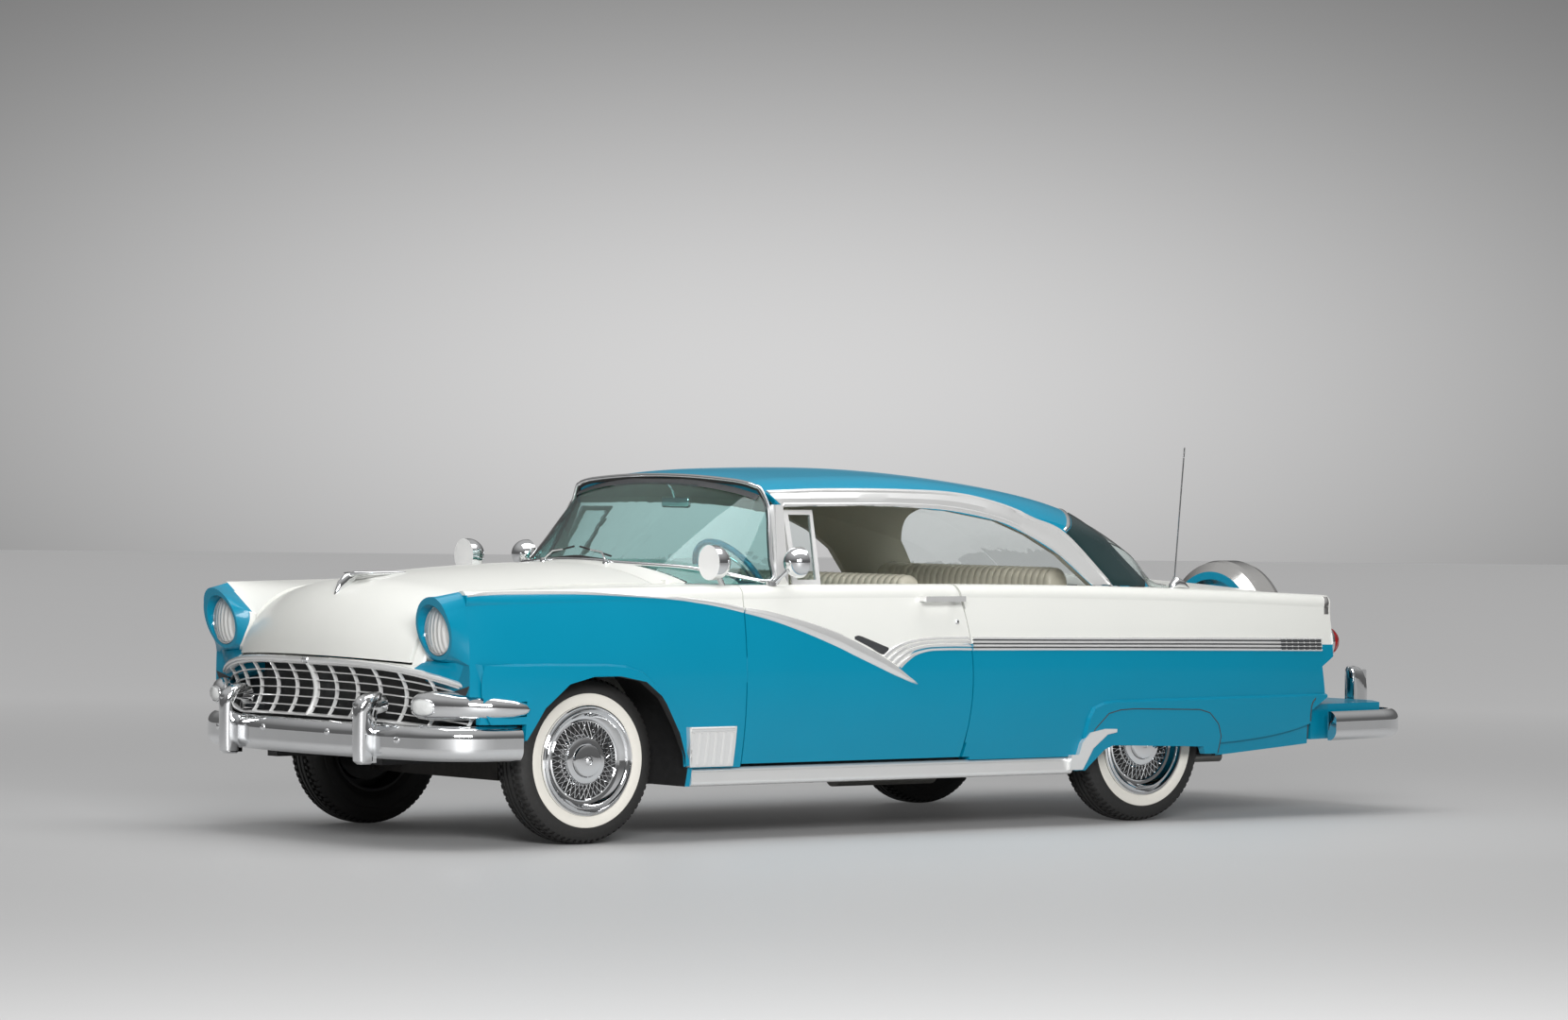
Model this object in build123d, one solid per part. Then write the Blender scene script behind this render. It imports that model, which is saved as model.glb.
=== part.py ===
# Two-door hardtop car of the 1950s with a rear-mounted spare wheel, in millimetres.
# x points forward, y to the left of the car, z up. The ground is z = 0.
import math
import os
from collections import namedtuple

from build123d import *

# Main sizes of the car
WHEELBASE = 2934
FRONT_TRACK = 1473
REAR_TRACK = 1422
HALF_WIDTH = 948
BELT_HEIGHT = 1014
FRONT_REACH = 868
REAR_REACH = 1593
TYRE_RADIUS = 330
TYRE_WIDTH = 176

# Clearances
PANEL_GAP = 5
PIN_GAP = 0.3
JAMB_STEP = 8
HINGE_RADIUS = PANEL_GAP / 2 - PIN_GAP

# Where things are along the car, from the two axles
FRONT_AXLE_X = WHEELBASE / 2
REAR_AXLE_X = -WHEELBASE / 2
ORIGIN_X = (FRONT_AXLE_X + FRONT_REACH + REAR_AXLE_X - REAR_REACH) / 2
FENDER_FRONT_X = FRONT_AXLE_X + 623
HOOD_REAR_X = FRONT_AXLE_X - 467
DOOR_FRONT_X = FRONT_AXLE_X - 691
DOOR_REAR_X = REAR_AXLE_X + 1079
CABIN_REAR_X = REAR_AXLE_X + 215
DECK_FRONT_X = REAR_AXLE_X - 303
TAIL_X = REAR_AXLE_X - 1011
AXLE_HEIGHT = TYRE_RADIUS

# Body walls
WAIST_HEIGHT = 690
SIDE_BOTTOM = 220
SIDE_INNER_Y = 605
DOOR_INNER_Y = 843
JAMB_Y = 925
FLARE = 15
FENDER_NOSE_BOTTOM = 484
SILL_TOP = 292
SILL_BOTTOM = 219
SILL_INNER_Y = 800
DOOR_BOTTOM = 305
FLOOR_THICK = 20
FLOOR_TOP = SILL_TOP + FLOOR_THICK
TRUNK_FLOOR_TOP = 490
ROOF_THICK = 34
GLASS_THICK = 7
HOOD_THICK = 22
LID_HALF_WIDTH = SIDE_INNER_Y - PANEL_GAP

# Wheels and their carriers
RIM_RADIUS = 196
HUB_RADIUS = 60
SPINDLE_RADIUS = 20
KING_PIN_Y = FRONT_TRACK / 2 - 98
KING_PIN_RADIUS = 20
KING_PIN_LOW = AXLE_HEIGHT - 100
KING_PIN_HIGH = AXLE_HEIGHT + 115
WELL_RADIUS = 425
WELL_OUTER_Y = 912
REAR_WELL_RADIUS = 372
REAR_WELL_TOP = AXLE_HEIGHT + REAR_WELL_RADIUS

# Frame
RAIL_INNER_Y = 340
RAIL_OUTER_Y = 410
RAIL_HEIGHT = 90
RAIL_MID_TOP = SILL_TOP
RAIL_FRONT_TOP = 400
RAIL_REAR_TOP = TRUNK_FLOOR_TOP - FLOOR_THICK

os.makedirs("parts", exist_ok=True)


def xf(dx):
    return FRONT_AXLE_X + dx


def xr(dx):
    return REAR_AXLE_X + dx


def side_prism(points, y_low, y_high):
    """A side-view outline of (x, z) points stood across the car from y_low to y_high."""
    face = make_face(Polyline([(x, y_high, z) for x, z in points], close=True))
    return extrude(face, amount=y_high - y_low, dir=(0, -1, 0))


def plan_prism(points, z_low, z_high):
    """A plan outline of (x, y) points raised from z_low to z_high."""
    face = make_face(Polyline([(x, y, z_low) for x, y in points], close=True))
    return extrude(face, amount=z_high - z_low, dir=(0, 0, 1))


def block(x_low, x_high, y_low, y_high, z_low, z_high):
    size = Box(x_high - x_low, y_high - y_low, z_high - z_low)
    return Pos((x_low + x_high) / 2, (y_low + y_high) / 2, (z_low + z_high) / 2) * size


def rod(start, end, radius):
    """A round bar between two points."""
    along = Vector(*end) - Vector(*start)
    plane = Plane(origin=start, z_dir=along)
    return plane * Cylinder(radius, along.length, align=(Align.CENTER, Align.CENTER, Align.MIN))


def together(shapes):
    """Separate solids kept as one piece."""
    return Compound([solid for shape in shapes for solid in shape.solids()])


def both_sides(shape):
    return together([shape, mirror(shape, about=Plane.XZ)])


def largest(shape, count=1):
    """The biggest solids of a trimmed shape, without the slivers."""
    ranked = sorted(shape.solids(), key=lambda solid: -solid.volume)
    return together(ranked[:count])


def right_of(shape):
    return mirror(shape, about=Plane.XZ)


# Body sides: one smooth wall from headlamp to tail, as sections along the car
SideStation = namedtuple("SideStation", "x narrower drop inner_drop")
SIDE_STATIONS = [
    SideStation(FENDER_FRONT_X, 44, 20, 146),
    SideStation(xf(470), 22, 14, 42),
    SideStation(xf(300), 12, 11, 20),
    SideStation(xf(-10), 4, 6, 7),
    SideStation(DOOR_FRONT_X, 0, 0, 0),
    SideStation(DOOR_REAR_X, 0, 1, 1),
    SideStation(xr(460), 2, 10, 10),
    SideStation(xr(-10), 5, 22, 22),
    SideStation(xr(-640), 14, 44, 44),
    SideStation(TAIL_X, 32, 60, 66),
]
LOW_TUCK = 55
SHOULDER_TUCK = 32
SHOULDER_DROP = 54
CREST_TUCK = 80


def side_section(row, bottom, outset):
    wide = HALF_WIDTH - row.narrower + outset
    crest = BELT_HEIGHT - row.drop
    tuck = LOW_TUCK * (WAIST_HEIGHT - bottom) / (WAIST_HEIGHT - SIDE_BOTTOM)
    low_in = (row.x, SIDE_INNER_Y, bottom)
    low_out = (row.x, wide - tuck, bottom)
    waist = (row.x, wide, WAIST_HEIGHT)
    shoulder = (row.x, wide - SHOULDER_TUCK, crest - SHOULDER_DROP)
    top_out = (row.x, wide - CREST_TUCK, crest)
    top_in = (row.x, SIDE_INNER_Y, BELT_HEIGHT - row.inner_drop)
    outward = Vector(*top_out) - Vector(*top_in)
    edges = [
        Line(low_in, low_out),
        ThreePointArc(low_out, waist, shoulder),
        TangentArc(top_out, shoulder, tangent=outward),
        Line(top_out, top_in),
        Line(top_in, low_in),
    ]
    return make_face(edges)


def side_wall(outset=0):
    return loft([side_section(row, SIDE_BOTTOM, outset) for row in SIDE_STATIONS])


SIDE_WALL = side_wall()
FLARE_WALL = side_wall(FLARE)

# Side-view outlines
DOOR_TOP = BELT_HEIGHT + 60
FRONT_ARCH = [
    (xf(-452), SIDE_BOTTOM - 10), (xf(-419), SIDE_BOTTOM + 2), (xf(-394), 346), (xf(-346), 458), (xf(-275), 571),
    (xf(-182), 640), (xf(-60), 664), (xf(70), 664), (xf(184), 636), (xf(295), 545), (xf(372), 420),
    (xf(385), 380), (xf(385), SIDE_BOTTOM - 10),
]
FRONT_FLARE = [
    (xf(-447), SIDE_BOTTOM), (xf(-430), 300), (xf(-382), 415), (xf(-300), 560), (xf(-240), 640), (xf(-180), 690),
    (xf(-90), 716), (xf(10), 722), (xf(300), 722), (FENDER_FRONT_X, 712), (FENDER_FRONT_X, FENDER_NOSE_BOTTOM),
    (xf(300), 400), (xf(200), SIDE_BOTTOM),
]
REAR_FLARE = [
    (xr(470), SIDE_BOTTOM), (xr(462), 330), (xr(446), 455), (xr(420), 505), (xr(360), 526), (xr(300), 533),
    (xr(-400), 535), (TAIL_X, 530), (TAIL_X, SIDE_BOTTOM),
]
SKIRT_OUTLINE = [
    (xr(487), 232), (xr(440), 335), (xr(402), 407), (xr(334), 470), (xr(270), 484), (xr(190), 487), (xr(-179), 477),
    (xr(-240), 462), (xr(-296), 413), (xr(-319), 359), (xr(-314), 286), (xr(-240), 286), (xr(-225), 318),
    (xr(290), 335), (xr(335), 318), (xr(400), 258), (xr(425), 232),
]
REAR_ARCH_LOW = [(xr(487), 200), (xr(487), 240), (xr(420), 345), (xr(-300), 345), (xr(-314), 286), (xr(-314), 200)]
TAIL_PROFILE = [
    (TAIL_X, BELT_HEIGHT), (xr(-985), 860), (xr(-985), 690), (xr(-915), 648), (xr(-937), 516), (xr(-841), 457),
    (xr(-853), 316), (xr(-240), 272), (xr(-240), 150), (TAIL_X - 200, 150), (TAIL_X - 200, BELT_HEIGHT),
]


def door_outline(grow):
    """Door edge in side view, grown outward by a gap all round."""
    front = DOOR_FRONT_X + grow
    low = DOOR_BOTTOM - grow
    edges = [
        Line((front, 0, low), (front, 0, DOOR_TOP)),
        Line((front, 0, DOOR_TOP), (DOOR_REAR_X + 82 - grow, 0, DOOR_TOP)),
        ThreePointArc(
            (DOOR_REAR_X + 82 - grow, 0, DOOR_TOP),
            (DOOR_REAR_X - grow, 0, WAIST_HEIGHT + 30),
            (DOOR_REAR_X + 36 - grow, 0, low),
        ),
        Line((DOOR_REAR_X + 36 - grow, 0, low), (front, 0, low)),
    ]
    return make_face(edges)


def door_prism(grow, y_low, y_high):
    return Pos(0, y_high, 0) * extrude(door_outline(grow), amount=y_high - y_low, dir=(0, -1, 0))


def flare_band(outline):
    """A raised band round a wheel opening with a bevelled upper edge."""
    base = make_face(Polyline([(x, HALF_WIDTH - 20, z) for x, z in outline], close=True))
    raised = extrude(base, amount=60, dir=(0, 1, 0), taper=30)
    return FLARE_WALL & raised


def door_hinge():
    """Pin in the gap ahead of the door, with a leaf into the fender."""
    x = DOOR_FRONT_X + PANEL_GAP / 2
    y = HALF_WIDTH - 1
    low = WAIST_HEIGHT - 60
    high = WAIST_HEIGHT + 40
    pin = rod((x, y, low), (x, y, high), HINGE_RADIUS)
    leaf = block(x, x + PANEL_GAP, y - HINGE_RADIUS, y - 0.4, low, high)
    return pin.fuse(leaf)


def cross_hinge(x, z, fixed_side):
    """Pin across the car in the gap at a lid's hinged edge, with a leaf into the fixed panel."""
    pin = rod((x, -HINGE_HALF, z), (x, HINGE_HALF, z), HINGE_RADIUS)
    x_low, x_high = sorted((x, x + fixed_side * PANEL_GAP))
    leaf = block(x_low, x_high, -HINGE_HALF, HINGE_HALF, z - HINGE_RADIUS, z)
    return pin.fuse(leaf)


HINGE_HALF = 60


GRILLE_BAY_PLAN = [
    (xf(660), 600), (xf(575), 600), (xf(545), 700), (xf(520), 800), (xf(510), 862), (xf(578), 885), (xf(570), 970), (xf(660), 970),
]
GRILLE_BAY_FRONT = [(600, 470), (600, 645), (700, 628), (800, 611), (880, 596), (970, 580), (970, 470)]


def grille_bay():
    """Hollow in the fender behind the outer end of the grille."""
    face = make_face(Polyline([(xf(400), y, z) for y, z in GRILLE_BAY_FRONT], close=True))
    return plan_prism(GRILLE_BAY_PLAN, 460, 700) & extrude(face, amount=400, dir=(1, 0, 0))


def front_fender():
    span = block(DOOR_FRONT_X + PANEL_GAP, FENDER_FRONT_X, SIDE_INNER_Y, HALF_WIDTH + 50, 0, 1200)
    wall = (SIDE_WALL & span) + flare_band(FRONT_FLARE)
    well = rod((FRONT_AXLE_X, SIDE_INNER_Y - 10, AXLE_HEIGHT), (FRONT_AXLE_X, WELL_OUTER_Y, AXLE_HEIGHT), WELL_RADIUS)
    wall -= well
    wall -= block(xf(-WELL_RADIUS), xf(WELL_RADIUS), SIDE_INNER_Y - 10, WELL_OUTER_Y, 0, AXLE_HEIGHT)
    wall -= side_prism(FRONT_ARCH, SIDE_INNER_Y - 10, HALF_WIDTH + 60)
    wall -= block(DOOR_FRONT_X - 10, xf(-447), SIDE_INNER_Y - 10, HALF_WIDTH + 60, 0, SILL_TOP)
    wall -= block(xf(380), FENDER_FRONT_X + 10, SIDE_INNER_Y - 10, HALF_WIDTH + 60, 0, FENDER_NOSE_BOTTOM)
    wall -= grille_bay()
    return wall + door_hinge()


def quarter():
    span = block(TAIL_X, DOOR_REAR_X + 200, SIDE_INNER_Y, HALF_WIDTH + 50, 0, 1200)
    wall = (SIDE_WALL & span) + flare_band(REAR_FLARE)
    wall -= door_prism(PANEL_GAP, SIDE_INNER_Y - 10, HALF_WIDTH + 60)
    wall -= block(DOOR_REAR_X - 20, DOOR_REAR_X + 300, SIDE_INNER_Y - 10, HALF_WIDTH + 60, 0, DOOR_BOTTOM)
    wall -= door_prism(PANEL_GAP + JAMB_STEP, SIDE_INNER_Y - 10, JAMB_Y)
    wall -= block(xr(440), DOOR_REAR_X + 300, SIDE_INNER_Y - 10, DOOR_INNER_Y, 0, 1200)
    wall -= block(CABIN_REAR_X, xr(460), SIDE_INNER_Y - 10, DOOR_INNER_Y, REAR_WELL_TOP + 18, 1200)
    wall -= block(xr(487), DOOR_REAR_X + 300, SIDE_INNER_Y - 10, HALF_WIDTH + 60, 0, SILL_TOP)
    well = rod((REAR_AXLE_X, SIDE_INNER_Y - 10, AXLE_HEIGHT), (REAR_AXLE_X, WELL_OUTER_Y - 32, AXLE_HEIGHT), REAR_WELL_RADIUS)
    wall -= well
    wall -= block(xr(-REAR_WELL_RADIUS), xr(REAR_WELL_RADIUS), SIDE_INNER_Y - 10, WELL_OUTER_Y - 32, 0, AXLE_HEIGHT)
    wall -= side_prism(SKIRT_OUTLINE, WELL_OUTER_Y - 60, HALF_WIDTH + 60)
    wall -= side_prism(REAR_ARCH_LOW, SIDE_INNER_Y - 10, HALF_WIDTH + 60)
    wall -= side_prism(TAIL_PROFILE, SIDE_INNER_Y - 10, HALF_WIDTH + 60)
    return wall


def skirt():
    wall = (SIDE_WALL + FLARE_WALL) & side_prism(SKIRT_OUTLINE, WELL_OUTER_Y - 24, HALF_WIDTH + 60)
    return wall


def door():
    return SIDE_WALL & door_prism(0, DOOR_INNER_Y, HALF_WIDTH + 60)


def sill():
    shape = block(xr(495), xf(-448), SILL_INNER_Y, HALF_WIDTH - 42, SILL_BOTTOM, SILL_TOP)
    edges = shape.edges().filter_by(Axis.X).sort_by(Axis.Y)[-2:]
    return fillet(edges, 18)


SHIELD_THICK = 7
FRONT_SHIELD = [(xf(-420), 298), (xf(-396), 458), (xf(-632), 458), (xf(-632), 298)]
REAR_SHIELD = [
    (xr(520), 300), (xr(520), 236), (xr(445), 236), (xr(405), 325), (xr(335), 382), (xr(285), 390), (xr(285), 404),
    (xr(350), 406), (xr(430), 392), (xr(470), 350), (xr(480), 300),
]


def gravel_shields():
    """Bright plates on the flares behind the front wheels and ahead of the rear ones."""
    skin = side_wall(FLARE + SHIELD_THICK)
    front = (skin & side_prism(FRONT_SHIELD, JAMB_Y - 20, HALF_WIDTH + 60)) - FENDER
    rear = (skin & side_prism(REAR_SHIELD, JAMB_Y - 20, HALF_WIDTH + 60)) - QUARTER - skirt() - sill()
    return both_sides(together([largest(front), largest(rear)]))


TUNNEL_TOP = 428
TUNNEL_HALF = 150
TUNNEL_WALL = 12


def tunnel_hollow():
    half = TUNNEL_HALF - TUNNEL_WALL
    return block(CABIN_REAR_X - 50, xf(-500), -half, half, 0, TUNNEL_TOP - TUNNEL_WALL)


# Hood, cowl, deck and trunk lid: profiles along the car, lofted across it
HoodProfile = namedtuple("HoodProfile", "y rear_z mid_z front_x front_z nose_x nose_z")
HOOD_PROFILES = [
    HoodProfile(0, 1092, 1074, xf(490), 1030, xf(785), 731),
    HoodProfile(330, 1072, 1056, xf(465), 1014, xf(762), 727),
    HoodProfile(LID_HALF_WIDTH, 1016, 1009, xf(400), 978, xf(698), 716),
]


def hood_section(row, side):
    y = row.y * side
    rear = (HOOD_REAR_X, y, row.rear_z)
    mid = (xf(60), y, row.mid_z)
    front = (row.front_x, y, row.front_z)
    nose = (row.nose_x, y, row.nose_z)
    rear_low = (HOOD_REAR_X, y, row.rear_z - HOOD_THICK)
    mid_low = (xf(60), y, row.mid_z - HOOD_THICK)
    front_low = (row.front_x - HOOD_THICK / 3, y, row.front_z - HOOD_THICK)
    nose_low = (row.nose_x - HOOD_THICK, y, row.nose_z)
    top = ThreePointArc(rear, mid, front)
    under = ThreePointArc(rear_low, mid_low, front_low)
    edges = [
        top,
        TangentArc(front, nose, tangent=top % 1),
        Line(nose, nose_low),
        TangentArc(front_low, nose_low, tangent=under % 1),
        under,
        Line(rear_low, rear),
    ]
    return make_face(edges)


def across(rows):
    """The same rows for the right side, then the left, in order across the car."""
    return [(row, -1) for row in reversed(rows) if row.y > 0] + [(row, 1) for row in rows]


def hood():
    return loft([hood_section(row, side) for row, side in across(HOOD_PROFILES)])


CowlProfile = namedtuple("CowlProfile", "y front_z rear_z")
COWL_PROFILES = [
    CowlProfile(0, 1092, 1100),
    CowlProfile(330, 1072, 1082),
    CowlProfile(LID_HALF_WIDTH, 1016, 1018),
]
COWL_REAR_X = xf(-905)
COWL_THICK = 24


def cowl_section(row, side):
    y = row.y * side
    front = HOOD_REAR_X - PANEL_GAP
    mid_z = row.rear_z + 3
    points = [
        (front, y, row.front_z), (xf(-580), y, mid_z), (COWL_REAR_X, y, row.rear_z),
        (COWL_REAR_X, y, row.rear_z - COWL_THICK), (xf(-580), y, mid_z - COWL_THICK), (front, y, row.front_z - COWL_THICK),
    ]
    return make_face(Polyline(points, close=True))


POST_FOOT = (xf(-955), 818, 1012)
POST_HEAD = (xf(-1030), 692, 1334)
POST_LONG = 56
POST_WIDE = 36


def post():
    foot = Plane(POST_FOOT, x_dir=(1, 0, 0), z_dir=(0, 0, 1))
    head = Plane(POST_HEAD, x_dir=(1, 0, 0), z_dir=(0, 0, 1))
    return loft([foot * Rectangle(POST_LONG, POST_WIDE), head * Rectangle(POST_LONG * 0.7, POST_WIDE * 0.9)], ruled=True)


def cowl():
    top = loft([cowl_section(row, side) for row, side in across(COWL_PROFILES)])
    shape = top
    for side in (-1, 1):
        y_in, y_out = sorted((side * (LID_HALF_WIDTH - 1), side * (DOOR_INNER_Y - 8)))
        wing = block(COWL_REAR_X - 75, DOOR_FRONT_X, y_in, y_out, BELT_HEIGHT - 22, BELT_HEIGHT - 2)
        shape += wing
    firewall = block(xf(-560), xf(-535), -LID_HALF_WIDTH - 5, LID_HALF_WIDTH + 5, FLOOR_TOP, 1030)
    shape += firewall - tunnel_hollow()
    web = block(xf(-590), xf(-535), -300, 300, 1000, 1075)
    shape += web
    for side in (-1, 1):
        shape += post() if side > 0 else right_of(post())
    return shape


# Roof with its rear pillars: arched sections along the car
RoofStation = namedtuple("RoofStation", "x crown top_y top_z edge_y edge_z base_y base_z")
ROOF_STATIONS = [
    RoofStation(xf(-900), 1420, 510, 1396, 664, 1344, 680, 1318),
    RoofStation(xf(-1000), 1456, 520, 1428, 682, 1362, 696, 1326),
    RoofStation(xf(-1240), 1480, 530, 1448, 694, 1370, 708, 1330),
    RoofStation(xr(1200), 1484, 535, 1450, 702, 1366, 718, 1324),
    RoofStation(xr(850), 1462, 530, 1424, 708, 1338, 732, 1270),
    RoofStation(xr(560), 1430, 520, 1388, 716, 1290, 775, 1140),
    RoofStation(xr(300), 1388, 500, 1340, 724, 1230, 838, 985),
    RoofStation(xr(140), 1344, 480, 1294, 716, 1188, 836, 980),
    RoofStation(xr(-20), 1250, 440, 1214, 690, 1126, 812, 975),
    RoofStation(xr(-290), 1030, 400, 1022, 620, 1000, 700, 960),
]


def roof_section(row, inset):
    crown = (row.x, 0, row.crown - inset)
    edges = []
    for side in (-1, 1):
        top = (row.x, side * (row.top_y - inset * 0.3), row.top_z - inset)
        edge = (row.x, side * (row.edge_y - inset * 0.8), row.edge_z - inset * 0.5)
        base = (row.x, side * (row.base_y - inset), row.base_z - inset * 0.1)
        half = ThreePointArc(top, crown, (row.x, -top[1], top[2]))
        edges.append(TangentArc(top, edge, tangent=(half % 0) * -1))
        edges.append(Line(edge, base))
    left_top = (row.x, row.top_y - inset * 0.3, row.top_z - inset)
    edges.append(ThreePointArc((row.x, -left_top[1], left_top[2]), crown, left_top))
    left_base = (row.x, row.base_y - inset, row.base_z - inset * 0.1)
    edges.append(Line(left_base, (row.x, -left_base[1], left_base[2])))
    return make_face(edges)


def roof_volume(inset):
    return loft([roof_section(row, inset) for row in ROOF_STATIONS])


HEADER_LINE = [(xf(-1042), 1290), (xf(-1030), 1338), (xf(-962), 1440), (xf(-940), 1520)]
REAR_GLASS_LINE = [(xr(225), 1520), (xr(240), 1400), (xr(252), 1308), (xr(-8), 1018), (xr(-40), 940)]
QUARTER_TOP_LINE = [(xr(700), BELT_HEIGHT - 5), (xr(460), BELT_HEIGHT - 8), (xr(-10), BELT_HEIGHT - 20),
                    (xr(-400), BELT_HEIGHT - 33)]
SIDE_WINDOW_LINE = [(xf(-1100), 1322), (xr(1290), 1322), (xr(1029), 1312), (xr(771), 1271), (xr(615), 1212),
                    (xr(470), 1130), (xr(331), 1002)]
BELOW = 600


def roof():
    shell = roof_volume(0) - roof_volume(ROOF_THICK)
    shell -= side_prism(HEADER_LINE + [(xf(0), 1520), (xf(0), 1290)], -1000, 1000)
    shell -= side_prism(REAR_GLASS_LINE + [(xr(-500), 940), (xr(-500), 1520)], -1000, 1000)
    shell -= side_prism(QUARTER_TOP_LINE + [(xr(-400), BELOW), (xr(700), BELOW)], -1000, 1000)
    shell -= side_prism(SIDE_WINDOW_LINE + [(xr(331), 940), (xf(-1100), 940)], -1000, 1000)
    return shell


DeckProfile = namedtuple("DeckProfile", "y front_z mid_z rear_z")
DECK_PROFILES = [
    DeckProfile(0, 1022, 1010, 984),
    DeckProfile(330, 1012, 1000, 976),
    DeckProfile(LID_HALF_WIDTH, 988, 975, 954),
]
LID_REAR_X = xr(-925)
LID_BACK_X = xr(-975)
LID_BACK_LOW = 600
DECK_THICK = 20


def deck_section(row, side, thick):
    y = row.y * side * SIDE_INNER_Y / LID_HALF_WIDTH
    front = DECK_FRONT_X + PANEL_GAP
    points = [
        (CABIN_REAR_X, y, row.front_z + 4), (front, y, row.front_z),
        (front, y, row.front_z - thick), (CABIN_REAR_X, y, row.front_z + 4 - thick),
    ]
    return make_face(Polyline(points, close=True))


def deck(thick=DECK_THICK):
    return loft([deck_section(row, side, thick) for row, side in across(DECK_PROFILES)])


def lid_section(row, side):
    y = row.y * side
    front = (DECK_FRONT_X, y, row.front_z)
    mid = ((DECK_FRONT_X + LID_REAR_X) / 2, y, row.mid_z)
    rear = (LID_REAR_X, y, row.rear_z)
    back = (LID_BACK_X, y, row.rear_z - 70)
    foot = (LID_BACK_X, y, LID_BACK_LOW)
    foot_in = (LID_BACK_X + HOOD_THICK, y, LID_BACK_LOW)
    back_in = (LID_BACK_X + HOOD_THICK, y, row.rear_z - 75)
    rear_in = (LID_REAR_X + 8, y, row.rear_z - HOOD_THICK)
    mid_in = (mid[0], y, row.mid_z - HOOD_THICK)
    front_in = (DECK_FRONT_X, y, row.front_z - HOOD_THICK)
    top = ThreePointArc(front, mid, rear)
    under = ThreePointArc(front_in, mid_in, rear_in)
    edges = [
        top, TangentArc(rear, back, tangent=top % 1), Line(back, foot), Line(foot, foot_in), Line(foot_in, back_in),
        TangentArc(rear_in, back_in, tangent=under % 1), under, Line(front_in, front),
    ]
    return make_face(edges)


def trunk_lid():
    return loft([lid_section(row, side) for row, side in across(DECK_PROFILES)])


def rear_panel():
    upper = block(LID_BACK_X, LID_BACK_X + 30, -SIDE_INNER_Y, SIDE_INNER_Y, TRUNK_FLOOR_TOP, LID_BACK_LOW - 8)
    lower = block(LID_BACK_X + 40, LID_BACK_X + 70, -SIDE_INNER_Y, SIDE_INNER_Y, 340, TRUNK_FLOOR_TOP - FLOOR_THICK)
    ledge = block(LID_BACK_X, LID_BACK_X + 70, -SIDE_INNER_Y, SIDE_INNER_Y, TRUNK_FLOOR_TOP - FLOOR_THICK, TRUNK_FLOOR_TOP)
    return upper + lower + ledge


# Windshield and rear window
GlassPlan = namedtuple("GlassPlan", "z centre_x bend_x bend_y end_x end_y")
WINDSHIELD_PLANS = [
    GlassPlan(1000, xf(-416), xf(-733), 728, xf(-925), 818),
    GlassPlan(1460, xf(-987), xf(-1050), 584, xf(-1092), 640),
]


def glass_plan(row, inset):
    centre = (row.centre_x - inset * 1.4, 0, row.z)
    bend = (row.bend_x - inset, row.bend_y - inset, row.z)
    end = (row.end_x, row.end_y - inset, row.z)
    far_bend = (bend[0], -bend[1], row.z)
    far_end = (end[0], -end[1], row.z)
    front = ThreePointArc(far_bend, centre, bend)
    edges = [
        front,
        TangentArc(bend, end, tangent=front % 1),
        Line(end, far_end),
        TangentArc(far_bend, far_end, tangent=(front % 0) * -1),
    ]
    return make_face(edges)


WINDSHIELD_EDGE = [
    (xf(-926), 1013), (xf(-980), 1210), (xf(-1015), 1334), (xf(-958), 1432), (xf(-760), 1432), (xf(-440), 1140),
    (xf(-500), 1080), (xf(-640), 1013),
]


def windshield():
    outer = loft([glass_plan(row, 0) for row in WINDSHIELD_PLANS], ruled=True)
    inner = loft([glass_plan(row, GLASS_THICK) for row in WINDSHIELD_PLANS], ruled=True)
    glass = outer - inner
    glass = glass & side_prism(WINDSHIELD_EDGE, -1000, 1000)
    return glass


def rear_window():
    glass = roof_volume(8) - roof_volume(8 + GLASS_THICK)
    behind = [(x - 4, z - 4) for x, z in REAR_GLASS_LINE] + [(xr(-500), 940), (xr(-500), 1520)]
    glass = glass & side_prism(behind, -1000, 1000)
    glass -= deck(300)
    glass -= block(xr(-600), DECK_FRONT_X + PANEL_GAP, -1000, 1000, 0, 1100)
    glass -= side_prism(QUARTER_TOP_LINE + [(xr(-400), BELOW), (xr(700), BELOW)], -1000, 1000)
    return glass


# Lamps
TAIL_LAMP_Y = 826
TAIL_LAMP_Z = 752
TAIL_LAMP_RADIUS = 76
TAIL_LAMP_CROWN = 38
LAMP_X = xf(668)
LAMP_Y = 760
LAMP_Z = 845
LENS_RADIUS = 90
LENS_DEEP = 26
LENS_CROWN = 24
BEZEL_LEAN = 0.25
BEZEL_FRONT_X = xf(694)
BezelArc = namedtuple("BezelArc", "y z mid_y mid_z")
BEZEL_RIM = [
    BezelArc(686, 756, 760, 731), BezelArc(834, 756, 878, 838), BezelArc(864, 915, 842, 952), BezelArc(800, 974, 726, 962),
    BezelArc(668, 912, 645, 838),
]
BEZEL_REAR = [
    BezelArc(612, 712, 758, 711), BezelArc(903, 712, 897, 815), BezelArc(872, 940, 858, 973), BezelArc(824, 994, 718, 934),
    BezelArc(612, 872, 611, 792),
]


def bezel_outline(rows, x, lean):
    """Outline of arcs from each corner through its middle point to the next corner."""
    edges = []
    for row, following in zip(rows, rows[1:] + rows[:1]):
        places = [(row.y, row.z), (row.mid_y, row.mid_z), (following.y, following.z)]
        edges.append(ThreePointArc(*[(x + lean * (z - LAMP_Z), y, z) for y, z in places]))
    return make_face(edges)


def headlamp_bezel():
    rear = bezel_outline(BEZEL_REAR, FENDER_FRONT_X, 0)
    rim = bezel_outline(BEZEL_RIM, BEZEL_FRONT_X, BEZEL_LEAN)
    body = loft([rear, rim], ruled=True)
    mouth = rod((LAMP_X - LENS_DEEP, LAMP_Y, LAMP_Z), (LAMP_X + 300, LAMP_Y, LAMP_Z), LENS_RADIUS + 10)
    return body - mouth


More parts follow.
